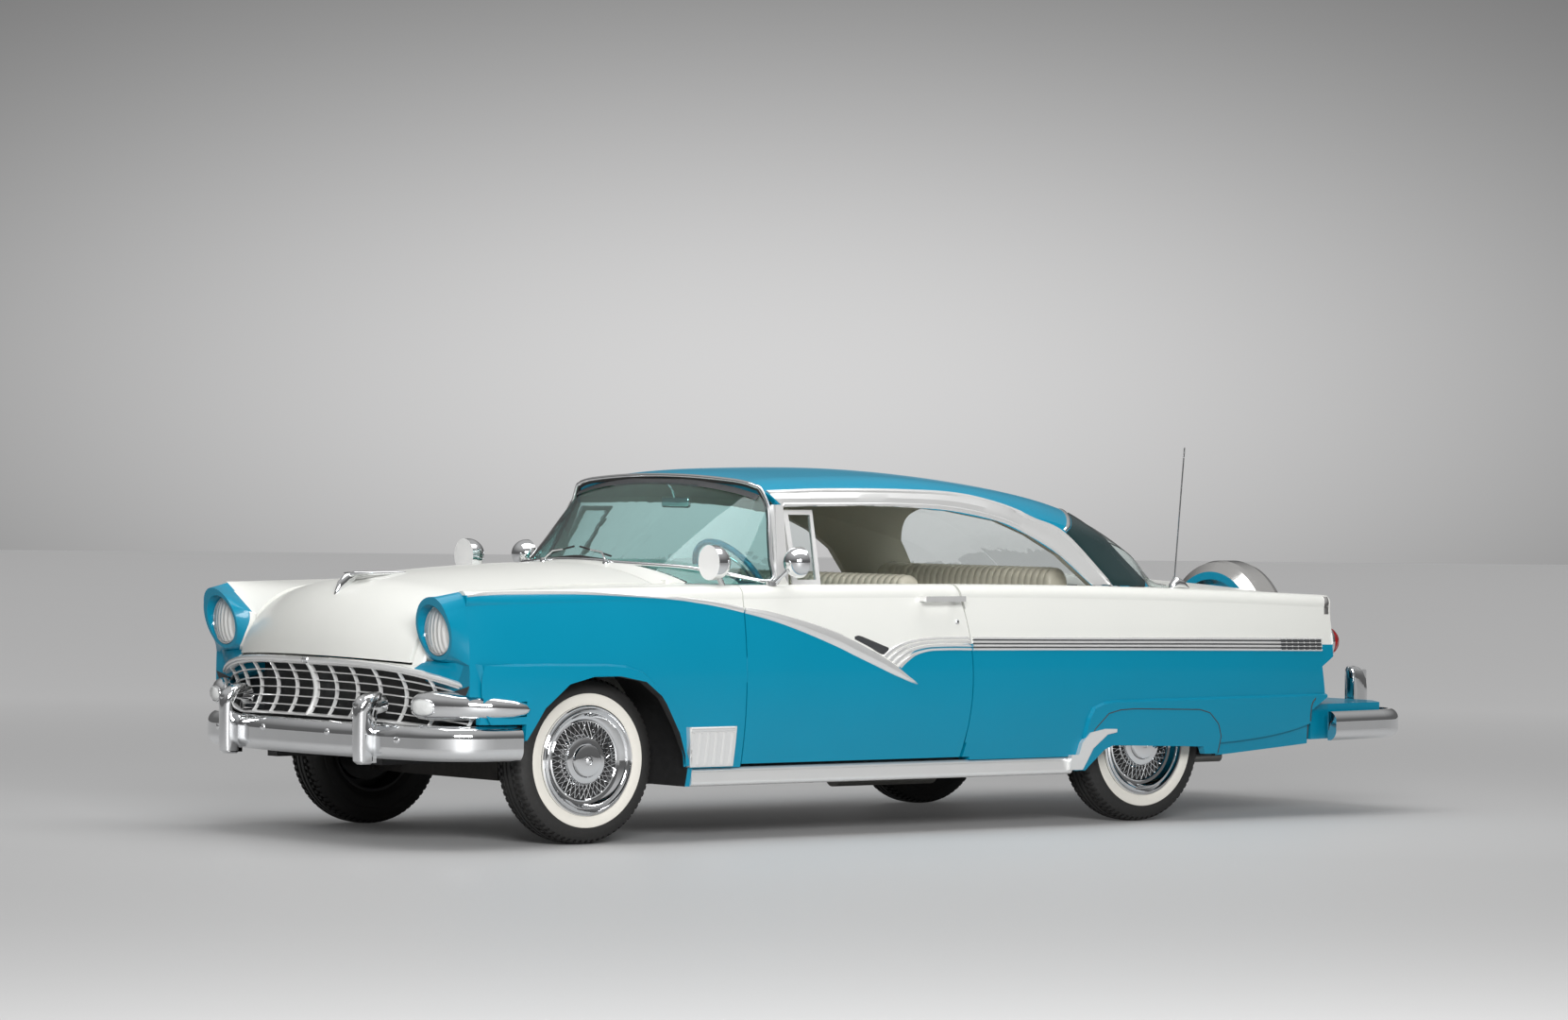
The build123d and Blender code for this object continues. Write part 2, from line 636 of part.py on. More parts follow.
def headlamp_lens():
    """Round lens with a crowned face, in the bottom of the bezel's mouth."""
    x = LAMP_X - LENS_DEEP
    rim = LENS_RADIUS + 10
    face = make_face([
        Line((x, LAMP_Y, LAMP_Z), (x, LAMP_Y, LAMP_Z + rim)),
        Line((x, LAMP_Y, LAMP_Z + rim), (LAMP_X, LAMP_Y, LAMP_Z + rim)),
        Line((LAMP_X, LAMP_Y, LAMP_Z + rim), (LAMP_X, LAMP_Y, LAMP_Z + LENS_RADIUS)),
        TangentArc((LAMP_X + LENS_CROWN, LAMP_Y, LAMP_Z), (LAMP_X, LAMP_Y, LAMP_Z + LENS_RADIUS), tangent=(0, 0, 1)),
        Line((LAMP_X + LENS_CROWN, LAMP_Y, LAMP_Z), (x, LAMP_Y, LAMP_Z)),
    ])
    return revolve(face, axis=Axis((x, LAMP_Y, LAMP_Z), (1, 0, 0)))


# Grille: concave rows of bars
GRILLE_HALF_WIDTH = 850
GRILLE_BOW = 185
GRILLE_TOP_DROOP = 84
GRILLE_LOW_DROOP = 34
GRILLE_TOP = 693
GRILLE_BOTTOM = 492
GRILLE_X = xf(772)
GRILLE_RECESS = 42
GRILLE_ROWS = 5
GRILLE_COLUMNS = 6
BAR_SIZE = 12
GRILLE_SILL = 18
GRILLE_POST_DEEP = 27
GRILLE_POST_STEPS = 10


def grille_droop(z, y):
    """How far a bar that is at height z in the middle has come down at y."""
    share = (z - GRILLE_BOTTOM) / (GRILLE_TOP - GRILLE_BOTTOM)
    return (GRILLE_LOW_DROOP + share * (GRILLE_TOP_DROOP - GRILLE_LOW_DROOP)) * (y / GRILLE_HALF_WIDTH) ** 2


def grille_row(z, depth, tall, deep, half):
    """One cross bar, bowed in plan and drooping to its ends."""
    bow = GRILLE_BOW * (half / GRILLE_HALF_WIDTH) ** 2
    droop = grille_droop(z, half)
    fall = deep * droop / bow
    x = GRILLE_X - depth
    front = ThreePointArc((x - bow, -half, z - droop), (x, 0, z), (x - bow, half, z - droop))
    rear = ThreePointArc(
        (x - bow - deep, -half, z - droop - fall), (x - deep, 0, z - fall), (x - bow - deep, half, z - droop - fall)
    )
    edges = [front, Line(front @ 1, rear @ 1), rear, Line(rear @ 0, front @ 0)]
    return Pos(0, 0, -tall / 2) * extrude(make_face(edges), amount=tall, dir=(0, 0, 1))


def grille_post(y, wide):
    """One upright bar, hollowed in side view and set back with the bow of the rows."""
    x = GRILLE_X - GRILLE_BOW * (y / GRILLE_HALF_WIDTH) ** 2
    front = []
    for index in range(GRILLE_POST_STEPS + 1):
        share = index / GRILLE_POST_STEPS
        z = GRILLE_BOTTOM + share * (GRILLE_TOP - GRILLE_BOTTOM)
        front.append((x - GRILLE_RECESS * 4 * share * (1 - share), z - grille_droop(z, y)))
    rear = [(px - GRILLE_POST_DEEP, pz) for px, pz in reversed(front)]
    return side_prism(front + rear, y - wide / 2, y + wide / 2)


def grille():
    top = grille_row(GRILLE_TOP, -14, 28, 30, GRILLE_HALF_WIDTH + 24)
    pieces = [grille_row(GRILLE_BOTTOM, -6, GRILLE_SILL, 34, GRILLE_HALF_WIDTH + 8)]
    for index in range(1, GRILLE_ROWS + 1):
        share = index / (GRILLE_ROWS + 1)
        z = GRILLE_BOTTOM + share * (GRILLE_TOP - GRILLE_BOTTOM)
        depth = GRILLE_RECESS * 4 * share * (1 - share) + 4
        pieces.append(grille_row(z, depth, BAR_SIZE, 20, GRILLE_HALF_WIDTH))
    for index in range(-GRILLE_COLUMNS, GRILLE_COLUMNS + 1):
        wide = 30 if index == 0 else 9
        pieces.append(grille_post(index * GRILLE_HALF_WIDTH / GRILLE_COLUMNS, wide))
    return top.fuse(*pieces)


def front_valance():
    """Panel behind the grille that ties the fenders together."""
    shelf_top = GRILLE_BOTTOM - GRILLE_SILL / 2
    back = block(xf(560), xf(580), -SIDE_INNER_Y, SIDE_INNER_Y, shelf_top - 20, 705)
    shelf = block(xf(560), xf(730), -450, 450, shelf_top - 20, shelf_top)
    return back + shelf


# Bumpers: a bar section carried along a plan path
BUMPER_TALL = 136
BUMPER_DEEP = 46
FRONT_BUMPER_Z = 410
REAR_BUMPER_Z = 392


BUMPER_CORNER = 230
BUMPER_TURN = 73


def bumper_path(face_x, bow, bend_y, arm, forward, z):
    """Plan path of a bumper's back: a bowed middle, two corners and two arms."""
    bend_x = face_x - forward * bow
    front = ThreePointArc((bend_x, -bend_y, z), (face_x, 0, z), (bend_x, bend_y, z))
    corner = JernArc(front @ 1, front % 1, BUMPER_CORNER, forward * BUMPER_TURN)
    side = Line(corner @ 1, (corner @ 1) + (corner % 1) * arm)
    edges = list(front.edges())
    for piece in (corner, side):
        edges += list(piece.edges())
        edges += list(mirror(piece, about=Plane.XZ).edges())
    return Wire(edges)


def bumper_bar(path, tall, deep):
    """Bar with a rounded face, carried along the path with its back on the path."""
    along = path % 0
    outward = along.cross(Vector(0, 0, 1))
    if outward.Y > 0:
        outward = outward * -1
    plane = Plane(origin=path @ 0, x_dir=outward, z_dir=along)
    upright = 1 if plane.y_dir.Z > 0 else -1
    h = upright * tall / 2
    d = deep
    profile = make_face([
        Line((0, -h), (d * 0.35, -h)),
        ThreePointArc((d * 0.35, -h), (d * 0.83, -h * 0.72), (d, -h * 0.3)),
        Line((d, -h * 0.3), (d, h * 0.3)),
        ThreePointArc((d, h * 0.3), (d * 0.83, h * 0.72), (d * 0.35, h)),
        Line((d * 0.35, h), (0, h)),
        Line((0, h), (0, -h)),
    ])
    return sweep(plane * profile, path=path)


GUARD_Y = 480
GUARD_WIDE = 58
BULLET_RADIUS = 36
BULLET_LONG = 96
BULLET_Z = 545
FRONT_FACE_X = FRONT_AXLE_X + FRONT_REACH
FRONT_BUMPER_BACK_X = xf(792)
FRONT_BRACKET_X = xf(690)
REAR_FACE_X = REAR_AXLE_X - REAR_REACH
REAR_BUMPER_BACK_X = REAR_FACE_X + 28 + BUMPER_DEEP
REAR_BRACKET_X = xr(-1000)


def guard(front_x, back_x, z_low, z_high, forward):
    """Upright bumper guard with a rounded face."""
    y_low = GUARD_Y - GUARD_WIDE / 2
    y_high = GUARD_Y + GUARD_WIDE / 2
    x_low, x_high = sorted((front_x, back_x))
    shape = block(x_low, x_high, y_low, y_high, z_low, z_high)
    outer = shape.faces().sort_by(Axis.X)[-1 if forward > 0 else 0]
    return fillet(outer.edges(), 24)


def bullet():
    """Round-nosed head of a front guard."""
    tip = FRONT_FACE_X - BULLET_RADIUS
    barrel = rod((tip, GUARD_Y, BULLET_Z), (tip - BULLET_LONG, GUARD_Y, BULLET_Z + 8), BULLET_RADIUS)
    return barrel.fuse(Pos(tip, GUARD_Y, BULLET_Z) * Sphere(BULLET_RADIUS))


def front_bumper():
    path = bumper_path(FRONT_BUMPER_BACK_X, 72, 700, 130, 1, FRONT_BUMPER_Z)
    bar = bumper_bar(path, BUMPER_TALL, BUMPER_DEEP)
    pieces = []
    for side in (-1, 1):
        post = guard(FRONT_FACE_X - 6, FRONT_FACE_X - 84, 326, BULLET_Z, 1).fuse(bullet())
        arm = block(FRONT_BRACKET_X, FRONT_BUMPER_BACK_X - 10, RAIL_INNER_Y, RAIL_OUTER_Y, 356, RAIL_FRONT_TOP)
        for piece in (post, arm):
            pieces.append(piece if side > 0 else right_of(piece))
    return bar.fuse(*pieces)


def rear_bumper():
    path = bumper_path(REAR_BUMPER_BACK_X, 45, 690, 360, -1, REAR_BUMPER_Z)
    bar = bumper_bar(path, BUMPER_TALL - 12, BUMPER_DEEP)
    pieces = []
    for side in (-1, 1):
        post = guard(REAR_FACE_X, REAR_FACE_X + 90, 322, 612, -1)
        arm = block(REAR_BUMPER_BACK_X - 10, REAR_BRACKET_X, RAIL_INNER_Y, RAIL_OUTER_Y, 390, 440)
        for piece in (post, arm):
            pieces.append(piece if side > 0 else right_of(piece))
    return bar.fuse(*pieces)


def splash_apron():
    """Painted shelf between the body and the rear bumper."""
    plan = [
        (xr(-985), -880), (xr(-1330), -850), (xr(-1440), -690), (REAR_BUMPER_BACK_X + 60, -300),
        (REAR_BUMPER_BACK_X + 60, 300), (xr(-1440), 690), (xr(-1330), 850), (xr(-985), 880),
    ]
    shelf = plan_prism(plan, 464, 484)
    outer = [(xr(-858), 914), (xr(-990), 880), (xr(-1330), 850)]
    inner = [(xr(-1330), 830), (xr(-990), 860), (xr(-858), 890)]
    wall = plan_prism(outer + inner, 334, 484)
    return shelf.fuse(wall, right_of(wall))


# Parking-lamp pods over the ends of the front bumper
POD_TALL = 84
POD_Z = 545


def parking_pods():
    """Bullet pods carried round the corner above the bumper's ends."""
    path = bumper_path(FRONT_BUMPER_BACK_X - 40, 72, 702, 100, 1, POD_Z)
    bar = bumper_bar(path, POD_TALL, 62)
    ends = bar - block(0, 3000, -610, 610, 0, 1000)
    return ends


def tail_lamps():
    """Round lenses in the ends of the rear quarters."""
    x = xr(-985)
    face = make_face([
        Line((x, TAIL_LAMP_Y, TAIL_LAMP_Z), (x, TAIL_LAMP_Y, TAIL_LAMP_Z + TAIL_LAMP_RADIUS)),
        TangentArc(
            (x - TAIL_LAMP_CROWN, TAIL_LAMP_Y, TAIL_LAMP_Z),
            (x, TAIL_LAMP_Y, TAIL_LAMP_Z + TAIL_LAMP_RADIUS),
            tangent=(0, 0, 1),
        ),
        Line((x - TAIL_LAMP_CROWN, TAIL_LAMP_Y, TAIL_LAMP_Z), (x, TAIL_LAMP_Y, TAIL_LAMP_Z)),
    ])
    return both_sides(revolve(face, axis=Axis((x, TAIL_LAMP_Y, TAIL_LAMP_Z), (1, 0, 0))))


# Spare wheel on its carrier behind the trunk
SPARE_X = xr(-1200)
SPARE_Z = 742
SPARE_RADIUS = 346
SPARE_WIDE = 196


def spare_cover():
    """Round cover over the spare wheel, with rounded shoulders and a raised middle on its rear face."""
    half = SPARE_WIDE / 2
    points = [
        (half - 20, 0), (half - 20, 240), (half, 262), (half, 296), (half - 34, SPARE_RADIUS - 8), (half - 60, SPARE_RADIUS),
        (-half + 60, SPARE_RADIUS), (-half + 34, SPARE_RADIUS - 8), (-half, 296), (-half, 262), (-half + 18, 240),
        (-half + 18, 120), (-half - 12, 96), (-half - 22, 0),
    ]
    face = make_face(Polyline([(SPARE_X + dx, 0, SPARE_Z + radius) for dx, radius in points], close=True))
    cover = revolve(face, axis=Axis((SPARE_X, 0, SPARE_Z), (1, 0, 0)))
    foot = block(SPARE_X - 60, SPARE_X + 60, -90, 90, 484, SPARE_Z - SPARE_RADIUS + 120)
    return cover + foot


# Wheels: a tyre and a wheel with its cover, turned about the axle
def tyre():
    half = TYRE_WIDTH / 2
    face = make_face([
        Line((0, -half * 0.72, RIM_RADIUS), (0, half * 0.72, RIM_RADIUS)),
        ThreePointArc((0, half * 0.72, RIM_RADIUS), (0, half, 264), (0, half * 0.78, TYRE_RADIUS - 9)),
        ThreePointArc((0, half * 0.78, TYRE_RADIUS - 9), (0, 0, TYRE_RADIUS), (0, -half * 0.78, TYRE_RADIUS - 9)),
        ThreePointArc((0, -half * 0.78, TYRE_RADIUS - 9), (0, -half, 264), (0, -half * 0.72, RIM_RADIUS)),
    ])
    return revolve(face, axis=Axis((0, 0, 0), (0, 1, 0)))


def wheel(side):
    """Rim, drum, hub and dished cover; y grows outward from the wheel's middle plane."""
    half = TYRE_WIDTH / 2
    bore = SPINDLE_RADIUS + PIN_GAP
    barrel = RIM_RADIUS - 10
    cap = [(0, 104), (18, 98), (54, 95), (66, 86), (69, 81), (90, 77), (96, 62), (101, 46)]
    dish = [(147, 45), (153, 62), (162, 62), (182, 74), (191, 84), (198, 77), (207, 89), (213, 91), (219, 82), (216, 71)]
    rim = [(RIM_RADIUS, half * 0.72), (RIM_RADIUS, -half * 0.72), (barrel, -half * 0.72), (barrel, half * 0.42)]
    drum = [(150, half * 0.38), (150, -12), (HUB_RADIUS, -12), (HUB_RADIUS, -30), (bore, -30)]
    points = cap + dish + rim + drum + [(bore, half * 0.62), (0, half * 0.62)]
    face = make_face(Polyline([(0, side * offset, radius) for radius, offset in points], close=True))
    return revolve(face, axis=Axis((0, 0, 0), (0, 1, 0)))


FRONT_WHEEL_Y = FRONT_TRACK / 2
REAR_WHEEL_Y = REAR_TRACK / 2
SPINDLE_END = TYRE_WIDTH / 2 * 0.62 - 4


def knuckle():
    """King pin, its block and the spindle of the left front wheel."""
    x = FRONT_AXLE_X
    pin = rod((x, KING_PIN_Y, KING_PIN_LOW), (x, KING_PIN_Y, KING_PIN_HIGH), KING_PIN_RADIUS)
    body = block(x - 32, x + 32, KING_PIN_Y - 28, KING_PIN_Y + 34, AXLE_HEIGHT - 55, AXLE_HEIGHT + 60)
    spindle = rod((x, KING_PIN_Y, AXLE_HEIGHT), (x, FRONT_WHEEL_Y + SPINDLE_END, AXLE_HEIGHT), SPINDLE_RADIUS)
    return pin.fuse(body, spindle)


ARM_LONG = 90
ARM_THICK = 26
ARM_GAP = 8


def front_suspension():
    """Cross-member with lower and upper arms that carry the two king pins."""
    x = FRONT_AXLE_X
    beam = block(x - 90, x + 90, -RAIL_INNER_Y, RAIL_INNER_Y, KING_PIN_LOW, RAIL_FRONT_TOP - RAIL_HEIGHT + 30)
    pieces = []
    low_z = KING_PIN_LOW
    high_z = KING_PIN_HIGH - ARM_THICK
    for side in (-1, 1):
        for z, inner in ((low_z, RAIL_INNER_Y - 30), (high_z, RAIL_OUTER_Y)):
            arm = plan_prism(
                [(x - ARM_LONG, inner), (x + ARM_LONG, inner), (x + 30, KING_PIN_Y), (x - 30, KING_PIN_Y)], z, z + ARM_THICK
            )
            boss = rod((x, KING_PIN_Y, z), (x, KING_PIN_Y, z + ARM_THICK), 36)
            hole = rod((x, KING_PIN_Y, z - 5), (x, KING_PIN_Y, z + ARM_THICK + 5), KING_PIN_RADIUS + PIN_GAP)
            arm = arm.fuse(boss)
            if z == high_z:
                arm = arm.fuse(block(x - ARM_LONG, x + ARM_LONG, RAIL_INNER_Y, RAIL_OUTER_Y, RAIL_FRONT_TOP, z + ARM_THICK))
            arm -= hole
            pieces.append(arm if side > 0 else right_of(arm))
    lower = beam.fuse(pieces[0], pieces[2])
    return together([lower, pieces[1], pieces[3]])


AXLE_TUBE_RADIUS = 40
GEAR_CASE_RADIUS = 126
SPRING_Y = 480


def rear_axle():
    """Axle tube with its gear case, end spindles and two leaf springs."""
    tube = rod((REAR_AXLE_X, -REAR_WHEEL_Y + 60, AXLE_HEIGHT), (REAR_AXLE_X, REAR_WHEEL_Y - 60, AXLE_HEIGHT), AXLE_TUBE_RADIUS)
    case = Pos(REAR_AXLE_X, 0, AXLE_HEIGHT) * Sphere(GEAR_CASE_RADIUS)
    pieces = [case]
    end = REAR_WHEEL_Y + SPINDLE_END
    pieces.append(rod((REAR_AXLE_X, -end, AXLE_HEIGHT), (REAR_AXLE_X, end, AXLE_HEIGHT), SPINDLE_RADIUS))
    leaf = [
        (xr(640), SILL_TOP), (xr(600), SILL_TOP), (xr(600), 266), (xr(0), 304), (xr(-660), 384),
        (xr(-660), RAIL_REAR_TOP), (xr(-700), RAIL_REAR_TOP), (xr(-700), 362), (xr(-60), 266), (xr(60), 266), (xr(640), 244),
    ]
    for side in (-1, 1):
        y_low, y_high = sorted((side * (SPRING_Y - 32), side * (SPRING_Y + 32)))
        pieces.append(side_prism(leaf, y_low, y_high))
    return tube.fuse(*pieces)


def frame_rails():
    """Two box rails with a raised nose and a kick-up over the rear axle."""
    top = [
        (FRONT_BRACKET_X, RAIL_FRONT_TOP), (xf(-250), RAIL_FRONT_TOP), (xf(-480), RAIL_MID_TOP), (xr(470), RAIL_MID_TOP),
        (xr(250), RAIL_REAR_TOP), (REAR_BRACKET_X, RAIL_REAR_TOP),
    ]
    bottom = [(x, z - RAIL_HEIGHT) for x, z in reversed(top)]
    return both_sides(side_prism(top + bottom, RAIL_INNER_Y, RAIL_OUTER_Y))


CROSS_TALL = 28


def cross_members():
    rows = [(xf(590), RAIL_FRONT_TOP), (xf(-640), RAIL_MID_TOP), (xr(700), RAIL_MID_TOP), (xr(-330), RAIL_REAR_TOP),
            (xr(-930), RAIL_REAR_TOP)]
    beams = []
    for x, top in rows:
        beams.append(block(x - 35, x + 35, -RAIL_INNER_Y, RAIL_INNER_Y, top - CROSS_TALL - 2, top - 2))
    return together(beams)


FLOOR_HALF = DOOR_INNER_Y - 9
BULKHEAD_X = CABIN_REAR_X


def underbody():
    """Cabin floor with its tunnel, bulkhead behind the rear seat and trunk floor."""
    floor = block(BULKHEAD_X, xf(-535), -FLOOR_HALF, FLOOR_HALF, SILL_TOP, FLOOR_TOP)
    floor -= block(DOOR_FRONT_X - 5, xf(-500), SIDE_INNER_Y, 2000, 0, 2000)
    floor -= block(DOOR_FRONT_X - 5, xf(-500), -2000, -SIDE_INNER_Y, 0, 2000)
    floor -= block(BULKHEAD_X - 10, xr(440), SIDE_INNER_Y, 2000, 0, 2000)
    floor -= block(BULKHEAD_X - 10, xr(440), -2000, -SIDE_INNER_Y, 0, 2000)
    cover = block(BULKHEAD_X, xf(-560), -TUNNEL_HALF, TUNNEL_HALF, SILL_TOP, TUNNEL_TOP)
    bulkhead = block(BULKHEAD_X, BULKHEAD_X + 20, -SIDE_INNER_Y, SIDE_INNER_Y, SILL_TOP, 1000)
    trunk = block(LID_BACK_X + 70, BULKHEAD_X, -SIDE_INNER_Y, SIDE_INNER_Y, TRUNK_FLOOR_TOP - FLOOR_THICK, TRUNK_FLOOR_TOP)
    return floor.fuse(cover, bulkhead, trunk) - tunnel_hollow()


# Cabin fittings
SEAT_ROUND = 36


def rounded(shape):
    """A seat pad with its upper long edges rounded."""
    edges = shape.edges().filter_by(Axis.Y).sort_by(Axis.Z)[-2:]
    return fillet(edges, SEAT_ROUND)


def front_seat():
    cushion = rounded(block(xr(1230), xr(1760), -640, 640, TUNNEL_TOP, 620))
    back = side_prism([(xr(1080), 590), (xr(1230), 560), (xr(1250), 590), (xr(1200), 1040), (xr(1100), 1044)], -640, 640)
    return cushion.fuse(rounded(back))


def rear_seat():
    cushion = rounded(block(xr(330), xr(800), -590, 590, TUNNEL_TOP, 610))
    back = side_prism([(xr(238), 560), (xr(420), 560), (xr(425), 610), (xr(350), 1066), (xr(250), 1070)], -590, 590)
    return cushion.fuse(rounded(back))


DASH_HALF = 800


def dashboard():
    outline = [
        (xf(-600), 1010), (xf(-880), 1014), (xf(-900), 996), (xf(-880), 900), (xf(-830), 850), (xf(-740), 840), (xf(-600), 880),
    ]
    return side_prism(outline, -DASH_HALF, DASH_HALF)


STEER_Y = 385
STEER_CENTRE = (xf(-1040), STEER_Y, 1006)
STEER_AXIS = Vector(-math.cos(math.radians(32)), 0, math.sin(math.radians(32)))
STEER_RADIUS = 215
SHAFT_RADIUS = 11


def steering_plane():
    return Plane(origin=STEER_CENTRE, x_dir=(0, 1, 0), z_dir=STEER_AXIS)


def steering_wheel():
    plane = steering_plane()
    rim = plane * Torus(STEER_RADIUS - 12, 12)
    hub = plane * Pos(0, 0, -36) * Cylinder(38, 52)
    spokes = plane * Pos(0, 0, -14) * Box(2 * STEER_RADIUS - 26, 26, 12)
    bore = plane * Pos(0, 0, -50) * Cylinder(SHAFT_RADIUS + PIN_GAP, 40)
    return rim.fuse(hub, spokes) - bore


def steering_column():
    shaft_end = Vector(*STEER_CENTRE) - STEER_AXIS * 34
    start = Vector(*STEER_CENTRE) - STEER_AXIS * 68
    end = Vector(*STEER_CENTRE) - STEER_AXIS * 690
    tube = rod(tuple(start), tuple(end), 28)
    shaft = rod(tuple(shaft_end), tuple(start - STEER_AXIS * 20), SHAFT_RADIUS)
    return tube.fuse(shaft) - dashboard() - block(xf(-560), xf(0), 0, 700, 0, 1200)


# Heavy pieces below
EXHAUST_Y = 250
EXHAUST_Z = 230
EXHAUST_RADIUS = 24


def engine():
    body = block(xf(-320), xf(330), -270, 270, RAIL_FRONT_TOP - 90, 830)
    body -= block(xf(-100), xf(100), -400, 400, 0, RAIL_FRONT_TOP + 4)
    feet = block(xf(-230), xf(-160), -RAIL_OUTER_Y, RAIL_OUTER_Y, RAIL_FRONT_TOP, RAIL_FRONT_TOP + 34)
    return body.fuse(feet)


GEARBOX_Z = 352
GEARBOX_RADIUS = 59


def drive_shaft():
    gearbox = rod((xf(-320), 0, GEARBOX_Z), (xf(-900), 0, GEARBOX_Z), GEARBOX_RADIUS)
    shaft = rod((xf(-890), 0, GEARBOX_Z), (xr(110), 0, AXLE_HEIGHT + 10), 36)
    return gearbox.fuse(shaft) - Pos(REAR_AXLE_X, 0, AXLE_HEIGHT) * Sphere(GEAR_CASE_RADIUS)


def exhaust():
    """Pipe and silencer on each side, hung from the cross-members."""
    pipe = rod((xf(-300), EXHAUST_Y, EXHAUST_Z), (xr(-930), EXHAUST_Y, EXHAUST_Z), EXHAUST_RADIUS)
    silencer = rod((xr(720), EXHAUST_Y, EXHAUST_Z - 24), (xr(1250), EXHAUST_Y, EXHAUST_Z - 24), 52)
    hangers = []
    for x in (xf(-640), xr(700)):
        hangers.append(block(x - 10, x + 10, EXHAUST_Y - 8, EXHAUST_Y + 8, EXHAUST_Z, RAIL_MID_TOP - 2 - CROSS_TALL))
    return both_sides(pipe.fuse(silencer, *hangers))


def fuel_tank():
    return block(xr(-880), xr(-400), -RAIL_INNER_Y + 10, RAIL_INNER_Y - 10, 280, TRUNK_FLOOR_TOP - FLOOR_THICK)


# Door fittings
VENT_TOP_Z = 1314
VENT_BOTTOM_Z = BELT_HEIGHT
VENT_TOP_Y = 692
VENT_BOTTOM_Y = 858


def vent_quad(front_low, front_high, rear_low, rear_high, inset, z_low, z_high):
    """Slanted panel in the plane of the side window."""
    lean = (VENT_TOP_Y - VENT_BOTTOM_Y) / (VENT_TOP_Z - VENT_BOTTOM_Z)
    y_low = VENT_BOTTOM_Y + lean * (z_low - VENT_BOTTOM_Z) - inset
    y_high = VENT_BOTTOM_Y + lean * (z_high - VENT_BOTTOM_Z) - inset
    points = [(front_low, y_low, z_low), (front_high, y_high, z_high), (rear_high, y_high, z_high), (rear_low, y_low, z_low)]
    return make_face(Polyline(points, close=True))


VENT_FRONT_LOW = xf(-993)
VENT_FRONT_HIGH = xf(-1060)
VENT_REAR_LOW = xf(-1130)
VENT_REAR_HIGH = xf(-1212)
VENT_BAR = 20


def vent_frame():
    outer = vent_quad(VENT_FRONT_LOW, VENT_FRONT_HIGH, VENT_REAR_LOW, VENT_REAR_HIGH, 0, VENT_BOTTOM_Z, VENT_TOP_Z)
    plate = extrude(outer, amount=16, dir=(0, -1, 0))
    inner = vent_quad(
        VENT_FRONT_LOW - VENT_BAR - 5, VENT_FRONT_HIGH - VENT_BAR, VENT_REAR_LOW + VENT_BAR - 4, VENT_REAR_HIGH + VENT_BAR,
        -20, VENT_BOTTOM_Z + VENT_BAR, VENT_TOP_Z - VENT_BAR,
    )
    return plate - extrude(inner, amount=60, dir=(0, -1, 0))


def vent_glass():
    pane = vent_quad(
        VENT_FRONT_LOW - VENT_BAR - 5, VENT_FRONT_HIGH - VENT_BAR, VENT_REAR_LOW + VENT_BAR - 4, VENT_REAR_HIGH + VENT_BAR,
        6, VENT_BOTTOM_Z + VENT_BAR, VENT_TOP_Z - VENT_BAR,
    )
    return extrude(pane, amount=5, dir=(0, -1, 0))


MIRROR_X = xf(-935)
MIRROR_RADIUS = 62


def door_mirror():
    stalk = rod((xf(-862), 872, BELT_HEIGHT - 6), (MIRROR_X + 5, 935, 1096), 9)
    foot = rod((xf(-862), 872, BELT_HEIGHT - 3), (xf(-862), 872, BELT_HEIGHT + 12), 24)
    rear_x = MIRROR_X - 25
    dome = Pos(rear_x + 10, 940, 1106) * Sphere(MIRROR_RADIUS)
    dome = dome & block(rear_x + 10, rear_x + 200, 800, 1100, 1000, 1200)
    rim = rod((rear_x, 940, 1106), (rear_x + 10, 940, 1106), MIRROR_RADIUS)
    return rim.fuse(dome, stalk, foot)


def door_handle():
    grip = block(xr(1140), xr(1350), HALF_WIDTH + 14, HALF_WIDTH + 30, 944, 966)
    ends = [block(x - 12, x + 12, HALF_WIDTH - 36, HALF_WIDTH + 22, 946, 964) for x in (xr(1160), xr(1330))]
    return grip.fuse(*ends)


SPOTLIGHT_RADIUS = 70


def spotlights():
    face_x = xf(-566)
    dome = Pos(face_x - 22, 852, 1104) * Sphere(SPOTLIGHT_RADIUS)
    dome = dome & block(face_x - 200, face_x - 22, 700, 1000, 900, 1300)
    rim = rod((face_x - 22, 852, 1104), (face_x, 852, 1104), SPOTLIGHT_RADIUS)
    stem = rod((xf(-640), 846, 1012), (xf(-610), 850, 1060), 12)
    return both_sides(rim.fuse(dome, stem))


ANTENNA_X = xr(-150)


def antenna():
    base = Pos(ANTENNA_X, 815, 976) * Cone(22, 6, 62, align=(Align.CENTER, Align.CENTER, Align.MIN))
    mast = rod((ANTENNA_X, 815, 1030), (ANTENNA_X - 50, 815, 1586), 3)
    return base.fuse(mast)


ORNAMENT_WINGS = [
    (xf(625), 0), (xf(560), 80), (xf(528), 88), (xf(505), 20), (xf(505), -20), (xf(528), -88), (xf(560), -80),
]


def hood_ornament():
    outline = [(xf(660), 985), (xf(560), 1058), (xf(420), 1066), (xf(310), 1060), (xf(330), 1050), (xf(470), 1034), (xf(600), 985)]
    wings = plan_prism(ORNAMENT_WINGS, 1040, 1054)
    return side_prism(outline, -14, 14).fuse(wings)


def at_wheel(shape, x, y):
    return Pos(x, y, AXLE_HEIGHT) * shape


